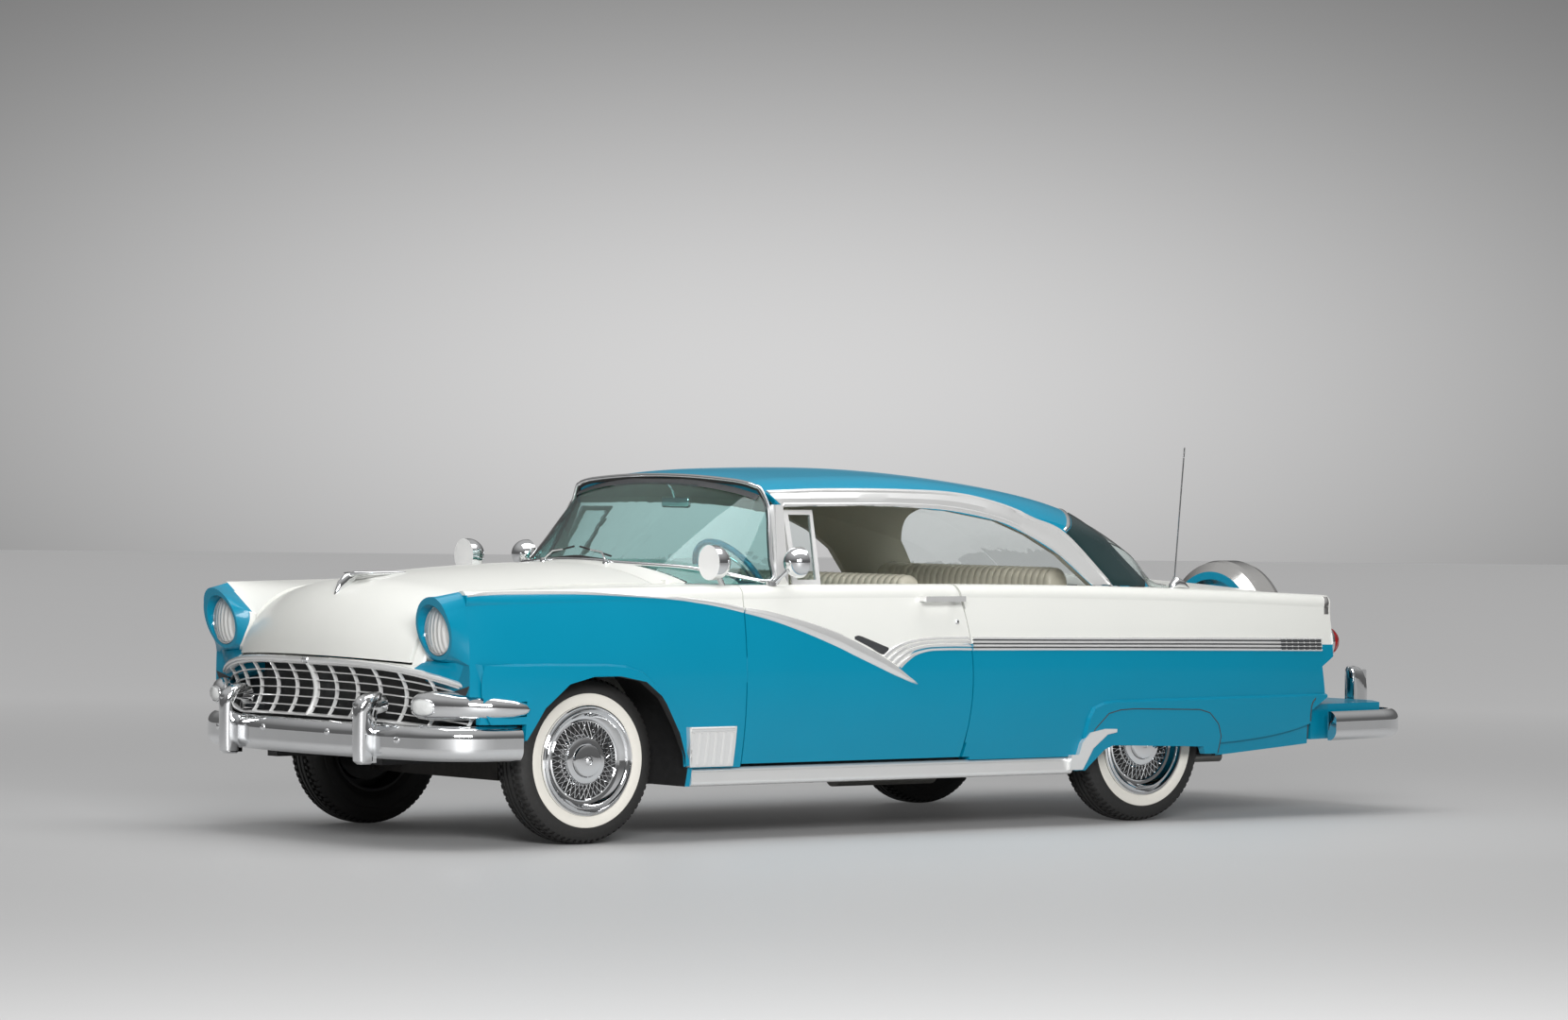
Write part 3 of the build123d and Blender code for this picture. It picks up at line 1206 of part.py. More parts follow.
PODS = largest(parking_pods(), 2)
FENDER = largest(front_fender() - PODS)
QUARTER = quarter()
DOOR = door()
FENDERS = both_sides(FENDER)
ROOF = roof()
HOOD_HINGE_Z = COWL_PROFILES[0].front_z - 4
COWL = cowl() - ROOF + cross_hinge(HOOD_REAR_X - PANEL_GAP / 2, HOOD_HINGE_Z, -1)
LID_HINGE_Z = DECK_PROFILES[0].front_z - 4
DASH = largest(dashboard() - COWL - FENDERS)
RAILS = frame_rails()
BEAMS = cross_members()
SPARE = spare_cover()
REAR_BUMPER = rear_bumper()
TYRE = tyre()
LEFT_WHEEL = wheel(1) - TYRE
RIGHT_WHEEL = wheel(-1) - TYRE
LEFT_DOOR_PIECES = {
    "door": DOOR, "vent_frame": vent_frame() - DOOR, "vent_glass": vent_glass(),
    "door_fittings": together([door_mirror() - DOOR, door_handle() - DOOR]),
}
NODES = {
    "frame_rails": RAILS, "cross_members": BEAMS, "underbody": underbody() - RAILS, "cowl": COWL,
    "front_fender_left": FENDER, "quarter_left": QUARTER, "sills": both_sides(sill()),
    "fender_skirts": both_sides(skirt()), "hood": hood(), "hood_ornament": hood_ornament() - hood(), "roof": ROOF,
    "deck_panel": deck() + cross_hinge(DECK_FRONT_X + PANEL_GAP / 2, LID_HINGE_Z, 1), "trunk_lid": trunk_lid(), "rear_panel": largest(rear_panel() - RAILS - BEAMS), "windshield": largest(windshield() - COWL - ROOF - DASH - FENDERS),
    "rear_window": rear_window(), "headlamp_bezels": both_sides(headlamp_bezel()),
    "headlamp_lenses": both_sides(headlamp_lens()), "grille": largest(grille() - FENDERS - PODS - front_valance()),
    "front_valance": front_valance(),
    "front_bumper": front_bumper(), "parking_pods": PODS, "rear_bumper": REAR_BUMPER,
    "splash_apron": largest(splash_apron() - SPARE - REAR_BUMPER - both_sides(QUARTER) - RAILS), "tail_lamps": tail_lamps(), "spare_wheel": SPARE,
    "front_seat": front_seat(), "rear_seat": rear_seat(), "dashboard": DASH, "steering_wheel": steering_wheel(),
    "steering_column": steering_column(), "power_train": engine().fuse(drive_shaft()), "exhaust": exhaust(),
    "fuel_tank": fuel_tank(), "front_suspension": front_suspension(), "rear_axle": rear_axle(),
    "knuckle_left": knuckle(), "knuckle_right": right_of(knuckle()), "spotlights": spotlights() - FENDERS, "antenna": antenna() - QUARTER,
}
NODES["gravel_shields"] = gravel_shields()
NODES["front_fender_right"] = right_of(NODES["front_fender_left"])
NODES["quarter_right"] = right_of(NODES["quarter_left"])
for name, shape in LEFT_DOOR_PIECES.items():
    NODES[name + "_left"] = shape
    NODES[name + "_right"] = right_of(shape)
for end, x, y in (("front", FRONT_AXLE_X, FRONT_WHEEL_Y), ("rear", REAR_AXLE_X, REAR_WHEEL_Y)):
    NODES["tyre_" + end + "_left"] = at_wheel(TYRE, x, y)
    NODES["tyre_" + end + "_right"] = at_wheel(TYRE, x, -y)
    NODES["wheel_" + end + "_left"] = at_wheel(LEFT_WHEEL, x, y)
    NODES["wheel_" + end + "_right"] = at_wheel(RIGHT_WHEEL, x, -y)

for name, shape in NODES.items():
    export_step(Pos(-ORIGIN_X, 0, 0) * shape, "parts/" + name + ".step")
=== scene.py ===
import math

import bpy
from bpy.props import FloatProperty, FloatVectorProperty, IntProperty, PointerProperty
from mathutils import Matrix, Vector
from mathutils.bvhtree import BVHTree


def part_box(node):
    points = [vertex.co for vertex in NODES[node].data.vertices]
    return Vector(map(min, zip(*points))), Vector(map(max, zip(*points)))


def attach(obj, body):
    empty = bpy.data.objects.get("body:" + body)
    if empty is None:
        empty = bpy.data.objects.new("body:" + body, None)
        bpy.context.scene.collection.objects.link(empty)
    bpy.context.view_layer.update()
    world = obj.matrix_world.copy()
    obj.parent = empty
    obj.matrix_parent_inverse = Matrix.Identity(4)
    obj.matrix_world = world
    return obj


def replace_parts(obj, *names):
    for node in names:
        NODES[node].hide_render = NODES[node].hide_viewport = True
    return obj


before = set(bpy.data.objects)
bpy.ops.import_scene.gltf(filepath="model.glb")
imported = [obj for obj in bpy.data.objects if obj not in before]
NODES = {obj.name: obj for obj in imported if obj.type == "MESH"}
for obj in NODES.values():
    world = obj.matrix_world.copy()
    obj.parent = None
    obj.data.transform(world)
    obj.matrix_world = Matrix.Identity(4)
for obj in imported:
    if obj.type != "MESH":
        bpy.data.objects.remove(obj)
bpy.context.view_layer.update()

bl_info = {
    "name": "Fifties Hardtop Finish",
    "version": (1, 0, 0),
    "blender": (4, 5, 0),
    "location": "View3D > Sidebar > Hardtop",
    "description": "Paint, bright trim, wheels, cabin and stage for a two-door hardtop car",
    "category": "Object",
}

SIDES = {"left": 1, "right": -1}
MM = 0.001
SIDE_CLEAR = 1300
FRONT_CLEAR = 2600
REAR_CLEAR = -3300
WELD = 1e-5
LEFTWARD = Vector((0, 1, 0))
UPWARD = Vector((0, 0, 1))


def middle(node):
    low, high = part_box(node)
    return (low + high) / 2


FRONT_HUB = middle("tyre_front_left")
REAR_HUB = middle("tyre_rear_left")
MID_X = (FRONT_HUB.x + REAR_HUB.x) / 2


def spot(x, y, z):
    """A place measured in millimetres from the middle of the wheelbase."""
    return Vector((MID_X + x * MM, y * MM, z * MM))


# Sizes and colours that a user would change


class HardtopColours(bpy.types.PropertyGroup):
    """Finishes of the car"""

    lower_paint: FloatVectorProperty(
        name="Lower paint", description="Body sides and roof", subtype="COLOR", size=3, min=0, max=1,
        default=(0.0, 0.242, 0.385),
    )
    upper_paint: FloatVectorProperty(
        name="Upper paint", description="Hood, deck and upper sides", subtype="COLOR", size=3, min=0, max=1,
        default=(0.80, 0.805, 0.765),
    )
    vinyl: FloatVectorProperty(
        name="Seat vinyl", description="Seats and door panels", subtype="COLOR", size=3, min=0, max=1,
        default=(0.66, 0.63, 0.52),
    )
    whitewall: FloatVectorProperty(
        name="White wall", description="White band of the tyres", subtype="COLOR", size=3, min=0, max=1,
        default=(0.82, 0.79, 0.72),
    )
    glass: FloatVectorProperty(
        name="Glass tint", description="Windshield and rear window", subtype="COLOR", size=3, min=0, max=1,
        default=(0.5, 0.82, 0.8),
    )
    tail_lens: FloatVectorProperty(
        name="Tail lens", description="Rear lamps", subtype="COLOR", size=3, min=0, max=1,
        default=(0.55, 0.01, 0.012),
    )


class HardtopSizes(bpy.types.PropertyGroup):
    """Sizes of the added pieces"""

    wall_inner: FloatProperty(
        name="White wall inner radius", description="Where the white band starts",
        unit="LENGTH", default=0.219,
    )
    wall_outer: FloatProperty(
        name="White wall outer radius", description="Where the white band ends",
        unit="LENGTH", default=0.263,
    )
    spokes: IntProperty(
        name="Spoke pairs", description="Crossed wires in each wheel cover", default=36, min=12, max=60,
    )
    tread_slots: IntProperty(
        name="Tread slots", description="Cross slots round each tyre", default=72, min=24, max=120,
    )
    pleat: FloatProperty(
        name="Pleat width", description="Sewn channels of the seats", unit="LENGTH", default=0.042,
    )


class HardtopStage(bpy.types.PropertyGroup):
    """Studio values"""

    floor_grey: FloatProperty(
        name="Floor grey", description="Brightness of the floor", subtype="FACTOR",
        default=0.55, min=0, max=1,
    )
    top_light: FloatProperty(
        name="Top light", description="Power of the overhead softbox", unit="POWER", default=195.0,
    )
    front_light: FloatProperty(
        name="Front light", description="Power of the softbox beside the camera",
        unit="POWER", default=2000.0,
    )
    room_light: FloatProperty(
        name="Room light", description="Strength of the even light of the room", default=0.6,
    )
    lens: FloatProperty(name="Lens", description="Focal length", default=130.04)


# Modelling helpers


def deselect():
    if bpy.context.mode != "OBJECT":
        bpy.ops.object.mode_set(mode="OBJECT")
    bpy.ops.object.select_all(action="DESELECT")


def make_active(obj):
    deselect()
    obj.select_set(True)
    bpy.context.view_layer.objects.active = obj


def start_edit(obj):
    make_active(obj)
    bpy.ops.object.mode_set(mode="EDIT")
    bpy.ops.mesh.select_all(action="SELECT")


def end_edit():
    bpy.ops.object.mode_set(mode="OBJECT")


def named(name):
    obj = bpy.context.object
    obj.name = name
    obj.data.name = name
    return obj


def chain(name, points):
    """A line drawn out point by point from one vertex."""
    deselect()
    bpy.ops.mesh.primitive_plane_add(size=MM, location=points[0])
    obj = named(name)
    bpy.ops.object.transform_apply(location=True, rotation=True, scale=True)
    start_edit(obj)
    bpy.ops.mesh.merge(type="CENTER")
    for start, end in zip(points, points[1:]):
        bpy.ops.mesh.extrude_vertices_move(TRANSFORM_OT_translate={"value": end - start})
    end_edit()
    return obj


def tidy_shell(obj):
    """Merges the seam, closes the ends and turns the faces outward."""
    start_edit(obj)
    bpy.ops.mesh.remove_doubles(threshold=WELD)
    bpy.ops.mesh.select_all(action="SELECT")
    bpy.ops.mesh.fill_holes(sides=0)
    bpy.ops.mesh.select_all(action="SELECT")
    bpy.ops.mesh.normals_make_consistent(inside=False)
    end_edit()
    return obj


def turned(name, profile, centre, axis, steps):
    """A profile of (radius, along) pairs in metres, spun about an axis through the centre."""
    axis = Vector(axis).normalized()
    reach = Vector((0, 0, 1)) if abs(axis.z) < 0.9 else Vector((1, 0, 0))
    points = [centre + axis * along + reach * radius for radius, along in profile]
    obj = chain(name, points)
    start_edit(obj)
    bpy.ops.mesh.spin(steps=steps, angle=math.tau, center=centre, axis=axis)
    end_edit()
    return tidy_shell(obj)


def tube(name, points, radius, cyclic=False, sides=3):
    """A round bar that follows the points."""
    obj = chain(name, points + points[:1] if cyclic else points)
    if cyclic:
        start_edit(obj)
        bpy.ops.mesh.remove_doubles(threshold=WELD)
        end_edit()
    make_active(obj)
    bpy.ops.object.convert(target="CURVE")
    curve = bpy.context.object.data
    curve.bevel_depth = radius
    curve.bevel_resolution = sides
    curve.use_fill_caps = True
    bpy.ops.object.convert(target="MESH")
    return named(name)


def rows_grid(name, rows, ring=True):
    """A grid primitive whose rows are moved to their places; ring closes each row on itself."""
    deselect()
    rows = [list(row) + [row[0]] for row in rows] if ring else rows
    across, along = len(rows[0]), len(rows)
    bpy.ops.mesh.primitive_grid_add(x_subdivisions=across - 1, y_subdivisions=along - 1, size=1)
    obj = named(name)
    order = sorted(obj.data.vertices, key=lambda v: (round(v.co.y, 5), round(v.co.x, 5)))
    places = [point for row in rows for point in row]
    for vertex, place in zip(order, places):
        vertex.co = place
    if ring:
        tidy_shell(obj)
    else:
        start_edit(obj)
        bpy.ops.mesh.normals_make_consistent(inside=False)
        end_edit()
    return obj


def box_piece(name, low, high, bevel=0.0, segments=3):
    """A cube brought to its size, with rounded edges."""
    deselect()
    low, high = Vector(low), Vector(high)
    bpy.ops.mesh.primitive_cube_add(size=1, location=(low + high) / 2)
    obj = named(name)
    obj.scale = high - low
    bpy.ops.object.transform_apply(location=True, rotation=True, scale=True)
    if bevel:
        start_edit(obj)
        bpy.ops.mesh.bevel(offset=bevel, segments=segments, profile=0.5, affect="EDGES")
        end_edit()
    return obj


def join(name, objs):
    deselect()
    for obj in objs:
        obj.select_set(True)
    bpy.context.view_layer.objects.active = objs[0]
    if len(objs) > 1:
        bpy.ops.object.join()
    return named(name)


def copied(obj, name, move=(0, 0, 0), mirror=False):
    """A copy with its own mesh, moved or mirrored across the car."""
    make_active(obj)
    bpy.ops.object.duplicate(linked=False)
    twin = named(name)
    start_edit(twin)
    if mirror:
        bpy.ops.transform.resize(value=(1, -1, 1), center_override=(0, 0, 0))
        bpy.ops.mesh.flip_normals()
    bpy.ops.transform.translate(value=move)
    end_edit()
    return twin


def dress(obj, *materials):
    obj.data.materials.clear()
    for material in materials:
        obj.data.materials.append(material)
    return obj


def settle(obj, body, slot, *materials, smooth=35):
    """Shades a finished piece, gives it its finish and hangs it on its body."""
    make_active(obj)
    bpy.ops.object.transform_apply(location=True, rotation=True, scale=True)
    bpy.ops.object.shade_smooth_by_angle(angle=math.radians(smooth))
    if materials:
        dress(obj, *materials)
    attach(obj, body)
    return obj


def spline(points, steps):
    """A smooth line of Vectors through the points, with even steps in each span."""
    points = [Vector(p) for p in points]
    ends = [points[0] * 2 - points[1]] + points + [points[-1] * 2 - points[-2]]
    line = []
    for a, b, c, d in zip(ends, ends[1:], ends[2:], ends[3:]):
        for index in range(steps):
            t = index / steps
            bend = a * 2 - b * 5 + c * 4 - d
            twist = b * 3 - a - c * 3 + d
            line.append((b * 2 + (c - a) * t + bend * t * t + twist * t ** 3) / 2)
    return line + [points[-1]]


SURFACES = {}


def surface(node):
    if node not in SURFACES:
        mesh = (NODES[node] if node in NODES else bpy.data.objects[node]).data
        corners = [v.co.copy() for v in mesh.vertices]
        SURFACES[node] = BVHTree.FromPolygons(corners, [tuple(p.vertices) for p in mesh.polygons])
    return SURFACES[node]


def meet(node, start, along):
    """Where a ray meets a panel, and the panel's outward normal there."""
    place, normal, _, _ = surface(node).ray_cast(Vector(start), Vector(along))
    if place is None:
        place, normal, _, _ = surface(node).find_nearest(Vector(start) + Vector(along) * 0.3)
    if normal.dot(Vector(along)) > 0:
        normal = -normal
    return place, normal


def between(low, high, share):
    return low + (high - low) * share


def laid_strip(name, node, side, low_line, high_line, ridge, steps=6, sink=1.5):
    """A strip laid on a panel between two lines of (x, z) in millimetres, seen from the side.

    The ridge is (share of the width, millimetres proud).
    """
    rows = []
    lows = spline([(x, z, 0) for x, z in low_line], steps)
    highs = spline([(x, z, 0) for x, z in high_line], steps)
    for low, high in zip(lows, highs):
        front, back = [], []
        for share, proud in ridge:
            place = between(low, high, share)
            hit, normal = meet(node, spot(place.x, side * SIDE_CLEAR, place.y), (0, -side, 0))
            front.append(hit + normal * proud * MM)
            back.append(hit - normal * sink * MM)
        rows.append(front + [back[-1], back[0]])
    return rows_grid(name, rows)


def side_strip(name, node, side, stations, ridge, steps=6):
    """A strip along a body side: each station is (x, low, high) in millimetres."""
    low_line = [(x, low) for x, low, _ in stations]
    high_line = [(x, high) for x, _, high in stations]
    return laid_strip(name, node, side, low_line, high_line, ridge, steps)


def rib_set(name, node, side, low_line, high_line, count):
    """Parallel raised bars between two lines."""
    pieces = []
    pitch = 1 / (count - 1 + RIB_SHARE)
    for index in range(count):
        pairs = [(Vector(low), Vector(high)) for low, high in zip(low_line, high_line)]
        lows = [between(low, high, index * pitch) for low, high in pairs]
        highs = [between(low, high, (index + RIB_SHARE) * pitch) for low, high in pairs]
        pieces.append(laid_strip(name, node, side, lows, highs, RIB_RIDGE))
    return join(name, pieces)


def scaled(profile):
    """A profile in millimetres brought to metres."""
    return [(radius * MM, along * MM) for radius, along in profile]


def oval(around, power):
    """Points round an oval that reaches one each way; a higher power makes it squarer."""
    points = []
    for step in range(around):
        c, s = math.cos(math.tau * step / around), math.sin(math.tau * step / around)
        swell = (abs(c) ** power + abs(s) ** power) ** (-1 / power)
        points.append((c * swell, s * swell))
    return points


def circle(centre, across, upward, radius, steps):
    """Places evenly round a centre."""
    turns = [math.tau * index / steps for index in range(steps)]
    return [centre + (across * math.cos(turn) + upward * math.sin(turn)) * radius for turn in turns]


def button(name, node, start, along, reach, rings, around=28, power=2.4):
    """A crowned oval piece seated on a panel where rays from its start meet it.

    Reach is (half width, half height); rings are (share of the reach, millimetres proud).
    """
    along = Vector(along).normalized()
    across = along.cross(Vector((0, 0, 1))).normalized()
    upward = across.cross(along).normalized()
    rows = []
    for share, proud in rings:
        row = []
        for c, s in oval(around, power):
            aside, rise = c * share * reach[0] * MM, s * share * reach[1] * MM
            hit, _ = meet(node, start + across * aside + upward * rise, along)
            row.append(hit - along * proud * MM)
        rows.append(row)
    return rows_grid(name, rows)


def oval_loft(name, stations, upward=(0, 0, 1), around=20, power=2.3):
    """Oval sections strung along a line, turning with it: (place, half width, half height) in metres."""
    upward = Vector(upward)
    places = [place for place, _, _ in stations]
    rows = []
    for index, (place, wide, tall) in enumerate(stations):
        ahead = places[min(index + 1, len(places) - 1)] - places[max(index - 1, 0)]
        across = ahead.cross(upward).normalized()
        rise = across.cross(ahead).normalized()
        rows.append([place + across * wide * c + rise * tall * s for c, s in oval(around, power)])
    return rows_grid(name, rows)


def patch(name, top, bottom, thick):
    """A thin panel between two lines of places."""
    back = Vector((-thick, 0, 0))
    rows = []
    for high, low in zip(top, bottom):
        mid = (high + low) / 2
        rows.append([high, mid, low, low + back, mid + back, high + back])
    return rows_grid(name, rows)


def seam(name, node, side, line, radius):
    """A dark line along a gap: (x, z) in millimetres seen from the side."""
    places = []
    for p in spline([(x, z, 0) for x, z in line], 4):
        place, _ = meet(node, spot(p.x, side * SIDE_CLEAR, p.y), (0, -side, 0))
        places.append(place)
    return tube(name, places, radius)


# Finishes


def shader_of(name):
    material = bpy.data.materials.new(name)
    material.use_nodes = True
    return material, material.node_tree, material.node_tree.nodes["Principled BSDF"]


def add_node(tree, kind, **values):
    node = tree.nodes.new(kind)
    for key, value in values.items():
        setattr(node, key, value)
    return node


def object_place(tree):
    return add_node(tree, "ShaderNodeTexCoord").outputs["Object"]


def noise(tree, scale, detail=3.0, place=None):
    node = add_node(tree, "ShaderNodeTexNoise")
    node.inputs["Scale"].default_value = scale
    node.inputs["Detail"].default_value = detail
    tree.links.new(place or object_place(tree), node.inputs["Vector"])
    return node.outputs["Fac"]


def spread(tree, value, low, high, source=(0.3, 0.7)):
    node = add_node(tree, "ShaderNodeMapRange")
    node.inputs["From Min"].default_value, node.inputs["From Max"].default_value = source
    node.inputs["To Min"].default_value, node.inputs["To Max"].default_value = low, high
    tree.links.new(value, node.inputs["Value"])
    return node.outputs["Result"]


def bump(tree, shader, height, strength, distance):
    node = add_node(tree, "ShaderNodeBump")
    node.inputs["Strength"].default_value = strength
    node.inputs["Distance"].default_value = distance
    tree.links.new(height, node.inputs["Height"])
    tree.links.new(node.outputs["Normal"], shader.inputs["Normal"])


def tone(tree, fac, dark, light):
    node = add_node(tree, "ShaderNodeMix", data_type="RGBA")
    tree.links.new(fac, node.inputs["Factor"])
    node.inputs[6].default_value = (*dark, 1)
    node.inputs[7].default_value = (*light, 1)
    return node.outputs[2]


def shade(colour, factor):
    return tuple(min(1, c * factor) for c in colour)


def gloss_paint(tree, shader):
    """Polished enamel under a clear coat, with a slow change of gloss."""
    shader.inputs["Coat Weight"].default_value = 0.25
    shader.inputs["Coat Roughness"].default_value = 0.05
    shader.inputs["Specular IOR Level"].default_value = 0.22
    tree.links.new(spread(tree, noise(tree, 2, 1), 0.3, 0.36), shader.inputs["Roughness"])


def enamel(name, colour):
    material, tree, shader = shader_of(name)
    tree.links.new(
        tone(tree, noise(tree, 3.0, 2), shade(colour, 0.96), shade(colour, 1.03)), shader.inputs["Base Color"]
    )
    gloss_paint(tree, shader)
    return material


# Where the upper colour meets the lower one along the body side: x and height
BORDER = [
    (-2500, 741), (-2347, 743), (-385, 770), (-165, 768), (-96, 752), (-47, 722), (-12, 692),
    (12, 664), (32, 668), (170, 736), (308, 790), (425, 830), (541, 866), (656, 894), (780, 917),
    (893, 938), (1174, 968), (1542, 989), (1813, 990), (2100, 982), (2300, 974),
]
BORDER_X = (-2500, 2300)
BORDER_Z = (500, 1100)
INNER_Y = 0.822
INNER_Z = 0.7
BEZEL_EYE = (0.765, 0.85)
BEZEL_REACH = 0.143
BEZEL_BACK = spot(2098, 0, 0).x


def compare(tree, value, kind, limit):
    node = add_node(tree, "ShaderNodeMath", operation=kind)
    node.inputs[1].default_value = limit
    tree.links.new(value, node.inputs[0])
    return node.outputs[0]


def joined(tree, kind, first, second):
    node = add_node(tree, "ShaderNodeMath", operation=kind)
    tree.links.new(first, node.inputs[0])
    tree.links.new(second, node.inputs[1])
    return node.outputs[0]


def inward(tree, axes, limit):
    """One where a place is nearer to the car's middle than the limit."""
    return compare(tree, compare(tree, axes.outputs["Y"], "ABSOLUTE", 0), "LESS_THAN", limit)


def two_paints(tree, shader, share, lower, upper):
    """Lower enamel where share is zero, upper enamel where it is one."""
    drift = noise(tree, 3.0, 2)
    mix = add_node(tree, "ShaderNodeMix", data_type="RGBA")
    tree.links.new(share, mix.inputs["Factor"])
    tree.links.new(tone(tree, drift, shade(lower, 0.96), shade(lower, 1.03)), mix.inputs[6])
    tree.links.new(tone(tree, drift, shade(upper, 0.98), shade(upper, 1.01)), mix.inputs[7])
    tree.links.new(mix.outputs[2], shader.inputs["Base Color"])
    gloss_paint(tree, shader)


def bezel_paint(name, lower, upper):
    """Lower colour round each headlamp, upper colour on the slope beside the hood."""
    material, tree, shader = shader_of(name)
    axes = add_node(tree, "ShaderNodeSeparateXYZ")
    tree.links.new(object_place(tree), axes.inputs[0])
    side = compare(tree, compare(tree, axes.outputs["Y"], "ABSOLUTE", 0), "SUBTRACT", BEZEL_EYE[0])
    rise = compare(tree, axes.outputs["Z"], "SUBTRACT", BEZEL_EYE[1])
    square = joined(tree, "ADD", compare(tree, side, "POWER", 2), compare(tree, rise, "POWER", 2))
    far = compare(tree, square, "GREATER_THAN", BEZEL_REACH ** 2)
    behind = compare(tree, axes.outputs["X"], "LESS_THAN", BEZEL_BACK)
    slope = joined(tree, "MULTIPLY", joined(tree, "MAXIMUM", far, behind), inward(tree, axes, BEZEL_EYE[0]))
    two_paints(tree, shader, slope, lower, upper)
    return material


def two_tone(name, lower, upper):
    """Enamel in two colours, split along the border line."""
    material, tree, shader = shader_of(name)
    axes = add_node(tree, "ShaderNodeSeparateXYZ")
    tree.links.new(object_place(tree), axes.inputs[0])
    limits = [spot(x, 0, 0).x for x in BORDER_X]
    along = spread(tree, axes.outputs["X"], 0, 1, limits)
    line = add_node(tree, "ShaderNodeValToRGB")
    steps = line.color_ramp.elements
    while len(steps) < len(BORDER):
        steps.new(0.5)
    for step, (x, z) in zip(steps, BORDER):
        step.position = (x - BORDER_X[0]) / (BORDER_X[1] - BORDER_X[0])
        level = (z - BORDER_Z[0]) / (BORDER_Z[1] - BORDER_Z[0])
        step.color = (level, level, level, 1)
    tree.links.new(along, line.inputs["Fac"])
    up = spread(tree, axes.outputs["Z"], 0, 1, (BORDER_Z[0] * MM, BORDER_Z[1] * MM))
    over = add_node(tree, "ShaderNodeMath", operation="GREATER_THAN")
    tree.links.new(up, over.inputs[0])
    tree.links.new(line.outputs["Color"], over.inputs[1])
    high = compare(tree, axes.outputs["Z"], "GREATER_THAN", INNER_Z)
    inner = joined(tree, "MULTIPLY", inward(tree, axes, INNER_Y), high)
    two_paints(tree, shader, joined(tree, "MAXIMUM", over.outputs[0], inner), lower, upper)
    return material


def bright_metal(name, colour, rough, grain=0.0):
    """Plated or polished metal with faint cloudiness."""
    material, tree, shader = shader_of(name)
    place = object_place(tree)
    shader.inputs["Metallic"].default_value = 1.0
    cloud = tone(tree, noise(tree, 14, 3, place), shade(colour, 0.94), colour)
    tree.links.new(cloud, shader.inputs["Base Color"])
    wear = spread(tree, noise(tree, 22, 4, place), rough * 0.7, rough * 1.4)
    tree.links.new(wear, shader.inputs["Roughness"])
    if grain:
        stretch = add_node(tree, "ShaderNodeMapping")
        stretch.inputs["Scale"].default_value = (4, 400, 400)
        tree.links.new(place, stretch.inputs["Vector"])
        bump(tree, shader, noise(tree, 3, 2, stretch.outputs[0]), grain, 0.0006)
    return material


def plain_finish(name, dark, light, rough, scale, depth=0.0, metal=0.0):
    """Paint, rubber, cloth or cast metal with a mottled colour and a grain."""
    material, tree, shader = shader_of(name)
    place = object_place(tree)
    shader.inputs["Metallic"].default_value = metal
    mottle = tone(tree, noise(tree, scale / 8, 4, place), dark, light)
    tree.links.new(mottle, shader.inputs["Base Color"])
    wear = spread(tree, noise(tree, scale / 4, 3, place), rough - 0.07, rough + 0.07)
    tree.links.new(wear, shader.inputs["Roughness"])
    if depth:
        bump(tree, shader, noise(tree, scale, 4, place), 0.5, depth)
    return material


def clear_glass(name, tint, index=1.45):
    """Window glass with a faint change of tint."""
    material, tree, shader = shader_of(name)
    shader.inputs["Transmission Weight"].default_value = 1.0
    shader.inputs["IOR"].default_value = index
    shader.inputs["Roughness"].default_value = 0.0
    tree.links.new(tone(tree, noise(tree, 6, 3), shade(tint, 0.97), tint), shader.inputs["Base Color"])
    return material


def lamp_glass(name, tint, axis_scale):
    """Moulded lens with upright flutes."""
    material, tree, shader = shader_of(name)
    shader.inputs["Transmission Weight"].default_value = 0.25
    shader.inputs["IOR"].default_value = 1.3
    shader.inputs["Roughness"].default_value = 0.03
    place = object_place(tree)
    tree.links.new(tone(tree, noise(tree, 20, 2, place), shade(tint, 0.9), tint), shader.inputs["Base Color"])
    flutes = add_node(tree, "ShaderNodeTexWave", wave_type="BANDS", bands_direction="Y")
    flutes.inputs["Scale"].default_value = axis_scale
    tree.links.new(place, flutes.inputs["Vector"])
    bump(tree, shader, flutes.outputs["Fac"], 0.8, 0.004)
    return material


